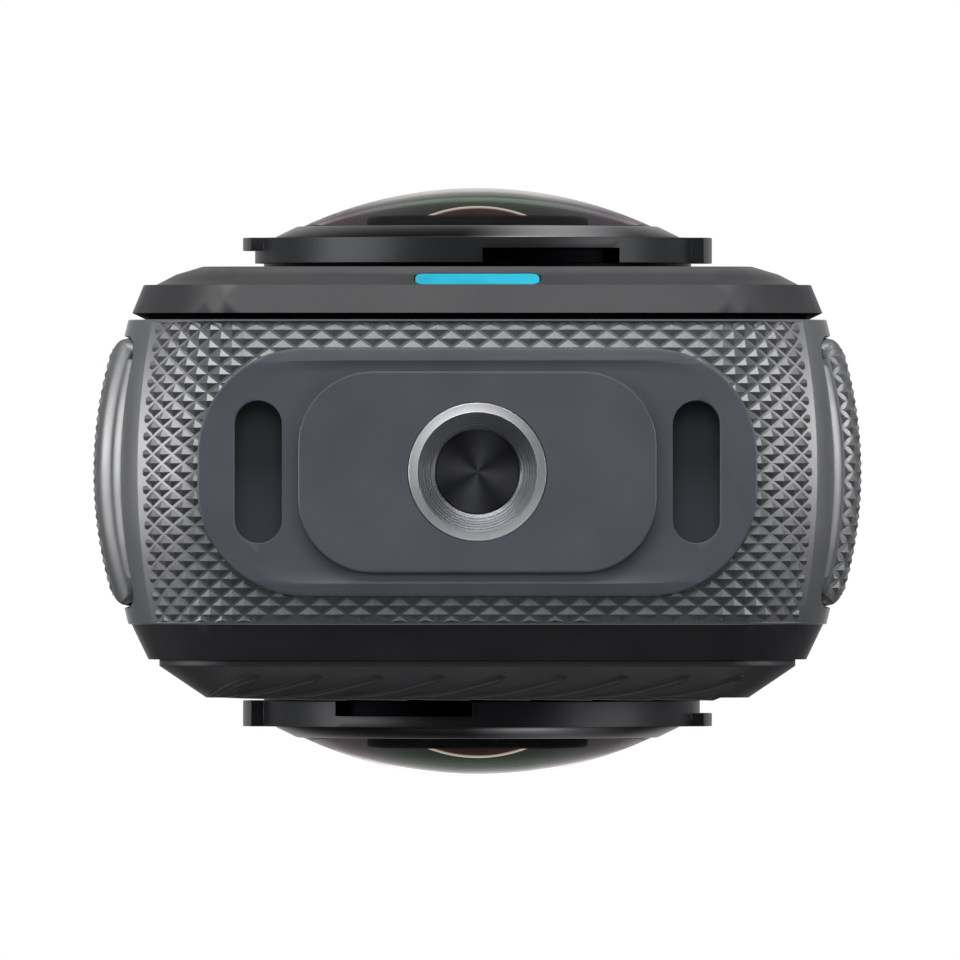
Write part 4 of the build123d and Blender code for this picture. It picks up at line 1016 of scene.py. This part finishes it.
# Painted reflections: the glass barely bends or mirrors light, so its tint by facing paints the
# coating's tints, bright bands of the room seen at a slant, and the dark of the shaded inside.
facing = glass.node("LayerWeight", {}, {"Blend": 0.5}, "Facing")
streak = glass.noise(0.5, 1.0) * 0.02 - 0.01
outward = glass.node("Math", {"operation": "ABSOLUTE"}, {0: along_axis(glass, "X")})
coating_and_painted_reflection = glass.node("ValToRGB", {"stops": (
    (0.0, colour(252, 252, 252)), (1.0, colour(60, 48, 60)), (0.5, colour(120, 122, 121)),
    (0.6, colour(36, 38, 37)), (0.7, colour(48, 53, 49)), (0.76, colour(66, 76, 68)),
    (0.8, colour(88, 94, 87)), (0.84, colour(184, 174, 179)), (0.88, colour(250, 242, 246)),
    (0.95, colour(244, 235, 240)), (0.97, colour(80, 66, 78)))}, {"Fac": facing + streak}, "Color")
# Painted shade: the dome's flanks, left and right of the lens axis, are tinted darker.
painted_flank_shade = glass.spread(outward, 3.8 * MM, 8.0 * MM, 0.0, 0.85)
glass.feed("Base Color", glass.blend(painted_flank_shade, coating_and_painted_reflection, colour(66, 54, 62)))

inside = Finish("clear glass", {"Transmission Weight": 1.0, "Roughness": 0.0, "IOR": 1.01,
                                "Specular IOR Level": 0.0})
inside.feed("Base Color", inside.blend(inside.noise(0.4), colour(250, 251, 250),
                                       colour(254, 254, 254)))

# The inner lens glows. Its glow and base colour by facing paint its reddish reflections and the
# bright arcs along its rim.
eye = Finish("inner lens with painted glints", {"Roughness": 0.05, "Coat Weight": 0.08, "Specular IOR Level": 0.0,
                            "Emission Strength": 3.5})
eye_facing = eye.node("LayerWeight", {}, {"Blend": 0.5}, "Facing") + eye.noise(0.8) * 0.04 - 0.02
eye.feed("Base Color", eye.node("ValToRGB", {"stops": (
    (0.0, colour(10, 8, 12)), (1.0, colour(60, 34, 30)),
    (0.5, colour(28, 16, 28)))}, {"Fac": eye_facing}, "Color"))
eye.feed("Emission Color", eye.node("ValToRGB", {"stops": (
    (0.0, colour(0, 0, 0)), (1.0, colour(255, 240, 236)), (0.45, colour(0, 0, 0)),
    (0.6, colour(48, 28, 27)), (0.8, colour(64, 38, 36)),
    (0.86, colour(230, 205, 196)))}, {"Fac": eye_facing}, "Color"))

for side in ("front", "rear"):
    dressed(side + "_bayonet_ring", RING, "camera", 0.14, 3)
    finished(side + "_bezel", on_lens(turned(BEZEL_PROFILE), side), BEZEL, "camera",
             (side + "_lens_bezel",), 40)
    outer = arc_points(DOME_CHORD, BEZEL_TOP, DOME_SAG, 24)
    inner = arc_points(DOME_CHORD - DOME_WALL, BEZEL_TOP, DOME_SAG - DOME_WALL, 20)
    seat = [(DOME_CHORD, DOME_SEAT), (DOME_CHORD - DOME_WALL, DOME_SEAT)]
    dome = turned(outer + seat + inner[::-1])
    dome = finished(side + "_dome", on_lens(dome, side), glass.material, "camera",
                    (side + "_lens_dome",), 40)
    dome.data.materials.append(inside.material)
    dome.data.materials.append(BAFFLE)
    # The outer face is coated, the inner one clear, and the foot in the bezel black.
    for face in dome.data.polygons:
        spot = face.center / MM - Vector((0, MID_PLANE, LENS_HEIGHT))
        facing_out = face.normal.y * spot.y > 0
        face.material_index = 2 if abs(spot.y) < BEZEL_TOP - 0.1 else 0 if facing_out else 1
    finished(side + "_baffle", on_lens(turned(BAFFLE_PROFILE), side), BAFFLE, "camera",
             (side + "_lens_baffle",), 40)
    small = turned(arc_points(EYE_RADIUS, EYE_EDGE, EYE_SAG, 14)
                   + [(EYE_RADIUS, EYE_SEAT), (0, EYE_SEAT)])
    finished(side + "_eye", on_lens(small, side), eye.material, "camera",
             (side + "_inner_lens",), 40)
    painted(side + "_lens_barrel", BLACK_PLASTIC)
    painted(side + "_relay_lenses", glass.material)
    painted(side + "_sensor_board", board.material)


# Floor, light and camera
# The object stands on a plain pale floor that is seen from above only.
# The camera looks straight up at the base from below, as the photograph does.

FLOOR_HALF = 1.5
FLOOR_GAP = 0.1
CAMERA_SPOT = (0.000157, 0.000476, -2.2)
FOCAL_LENGTH = 1386
AIM_HEIGHT = 0.03

# The camera and glass see plain white. Gloss sees a room lit from one side and from above,
# and all else a soft fill.
world = bpy.data.worlds.new("studio")
bpy.context.scene.world = world
world.use_nodes = True
studio = Nodes(world.node_tree)
ray = {kind: studio.node("LightPath", {}, {}, "Is " + kind + " Ray")
       for kind in ("Camera", "Transmission", "Glossy")}
open_ray = studio.node("Math", {"operation": "MAXIMUM"}, {0: ray["Camera"], 1: ray["Transmission"]})
look = studio.node("TexCoord", {}, {}, "Generated")
along = studio.node("SeparateXYZ", {}, {"Vector": look}, "Y")
upward = studio.node("SeparateXYZ", {}, {"Vector": look}, "Z")
side_shine = studio.spread(along, -0.5, 0.45, 0.7, 0.12)
top_shine = studio.spread(upward, 0.8, 0.97)
shine = studio.node("Math", {"operation": "MAXIMUM"}, {0: side_shine, 1: top_shine})
fill = studio.spread(along, -0.8, 0.8, 0.24, 0.03)
level = open_ray + (1 - open_ray) * (ray["Glossy"] * shine + (1 - ray["Glossy"]) * fill)
sky = world.node_tree.nodes["Background"]
sky.inputs["Color"].default_value = (1, 1, 1, 1)
world.node_tree.links.new(level.socket, sky.inputs["Strength"])

# Name, place and size in metres, power in watts, and whether glossy surfaces mirror it.
lamp_rows = (
    ("key", (-0.05, -0.89, -0.52), (1.4, 0.4), 14.0, True),
    ("left box", (-0.95, -0.05, -0.3), (0.3, 0.8), 7.5, True),
    ("right box", (0.95, -0.1, -0.3), (0.3, 0.8), 6.0, True),
    ("top box", (0.1, -0.5, 0.9), (0.9, 0.9), 3.5, False),
    ("back box", (0.0, 0.97, 0.2), (0.7, 0.35), 1.1, True),
    ("low box", (0.0, -0.3, -1.0), (0.4, 0.4), 2.2, False),
)
for name, spot, size, power, mirrored in lamp_rows:
    data = bpy.data.lights.new(name, "AREA")
    data.shape = "RECTANGLE"
    data.size, data.size_y = size
    data.energy = power
    lamp = bpy.data.objects.new(name, data)
    lamp.location = spot
    lamp.visible_glossy = mirrored
    aim = Vector((0, 0, AIM_HEIGHT)) - Vector(spot)
    lamp.rotation_euler = aim.to_track_quat("-Z", "Y").to_euler()
    bpy.context.scene.collection.objects.link(lamp)

floor_bm = bmesh.new()
bmesh.ops.create_grid(floor_bm, x_segments=1, y_segments=1, size=FLOOR_HALF)
bmesh.ops.translate(floor_bm, verts=floor_bm.verts[:], vec=(0, 0, -FLOOR_GAP * MM))
floor_mesh = bpy.data.meshes.new("floor")
floor_bm.to_mesh(floor_mesh)
floor_bm.free()
floor = bpy.data.objects.new("floor", floor_mesh)
bpy.context.scene.collection.objects.link(floor)
pale = bpy.data.materials.new("pale floor")
pale.use_nodes = True
ground = Nodes(pale.node_tree)
pale.node_tree.nodes.remove(pale.node_tree.nodes["Principled BSDF"])
from_above = 1 - ground.node("NewGeometry", {}, {}, "Backfacing")
seen_ray = ground.node("LightPath", {}, {}, "Is Camera Ray")
white = ground.node("BsdfDiffuse", {}, {"Color": (0.9, 0.9, 0.9, 1)})
see_through = ground.node("BsdfTransparent")
mixed = ground.node("MixShader", {}, {0: from_above * seen_ray, 1: see_through, 2: white})
pale.node_tree.links.new(mixed.socket, pale.node_tree.nodes["Material Output"].inputs["Surface"])
floor_mesh.materials.append(pale)

lens = bpy.data.cameras.new("camera view")
lens.type = "PERSP"
lens.sensor_width = 36
lens.lens = FOCAL_LENGTH
lens.clip_start = 0.5
lens.clip_end = 20
viewer = bpy.data.objects.new("camera view", lens)
viewer.location = CAMERA_SPOT
viewer.rotation_euler = (math.pi, 0, 0)
bpy.context.scene.collection.objects.link(viewer)
bpy.context.scene.camera = viewer
bpy.context.scene.view_settings.view_transform = "Standard"
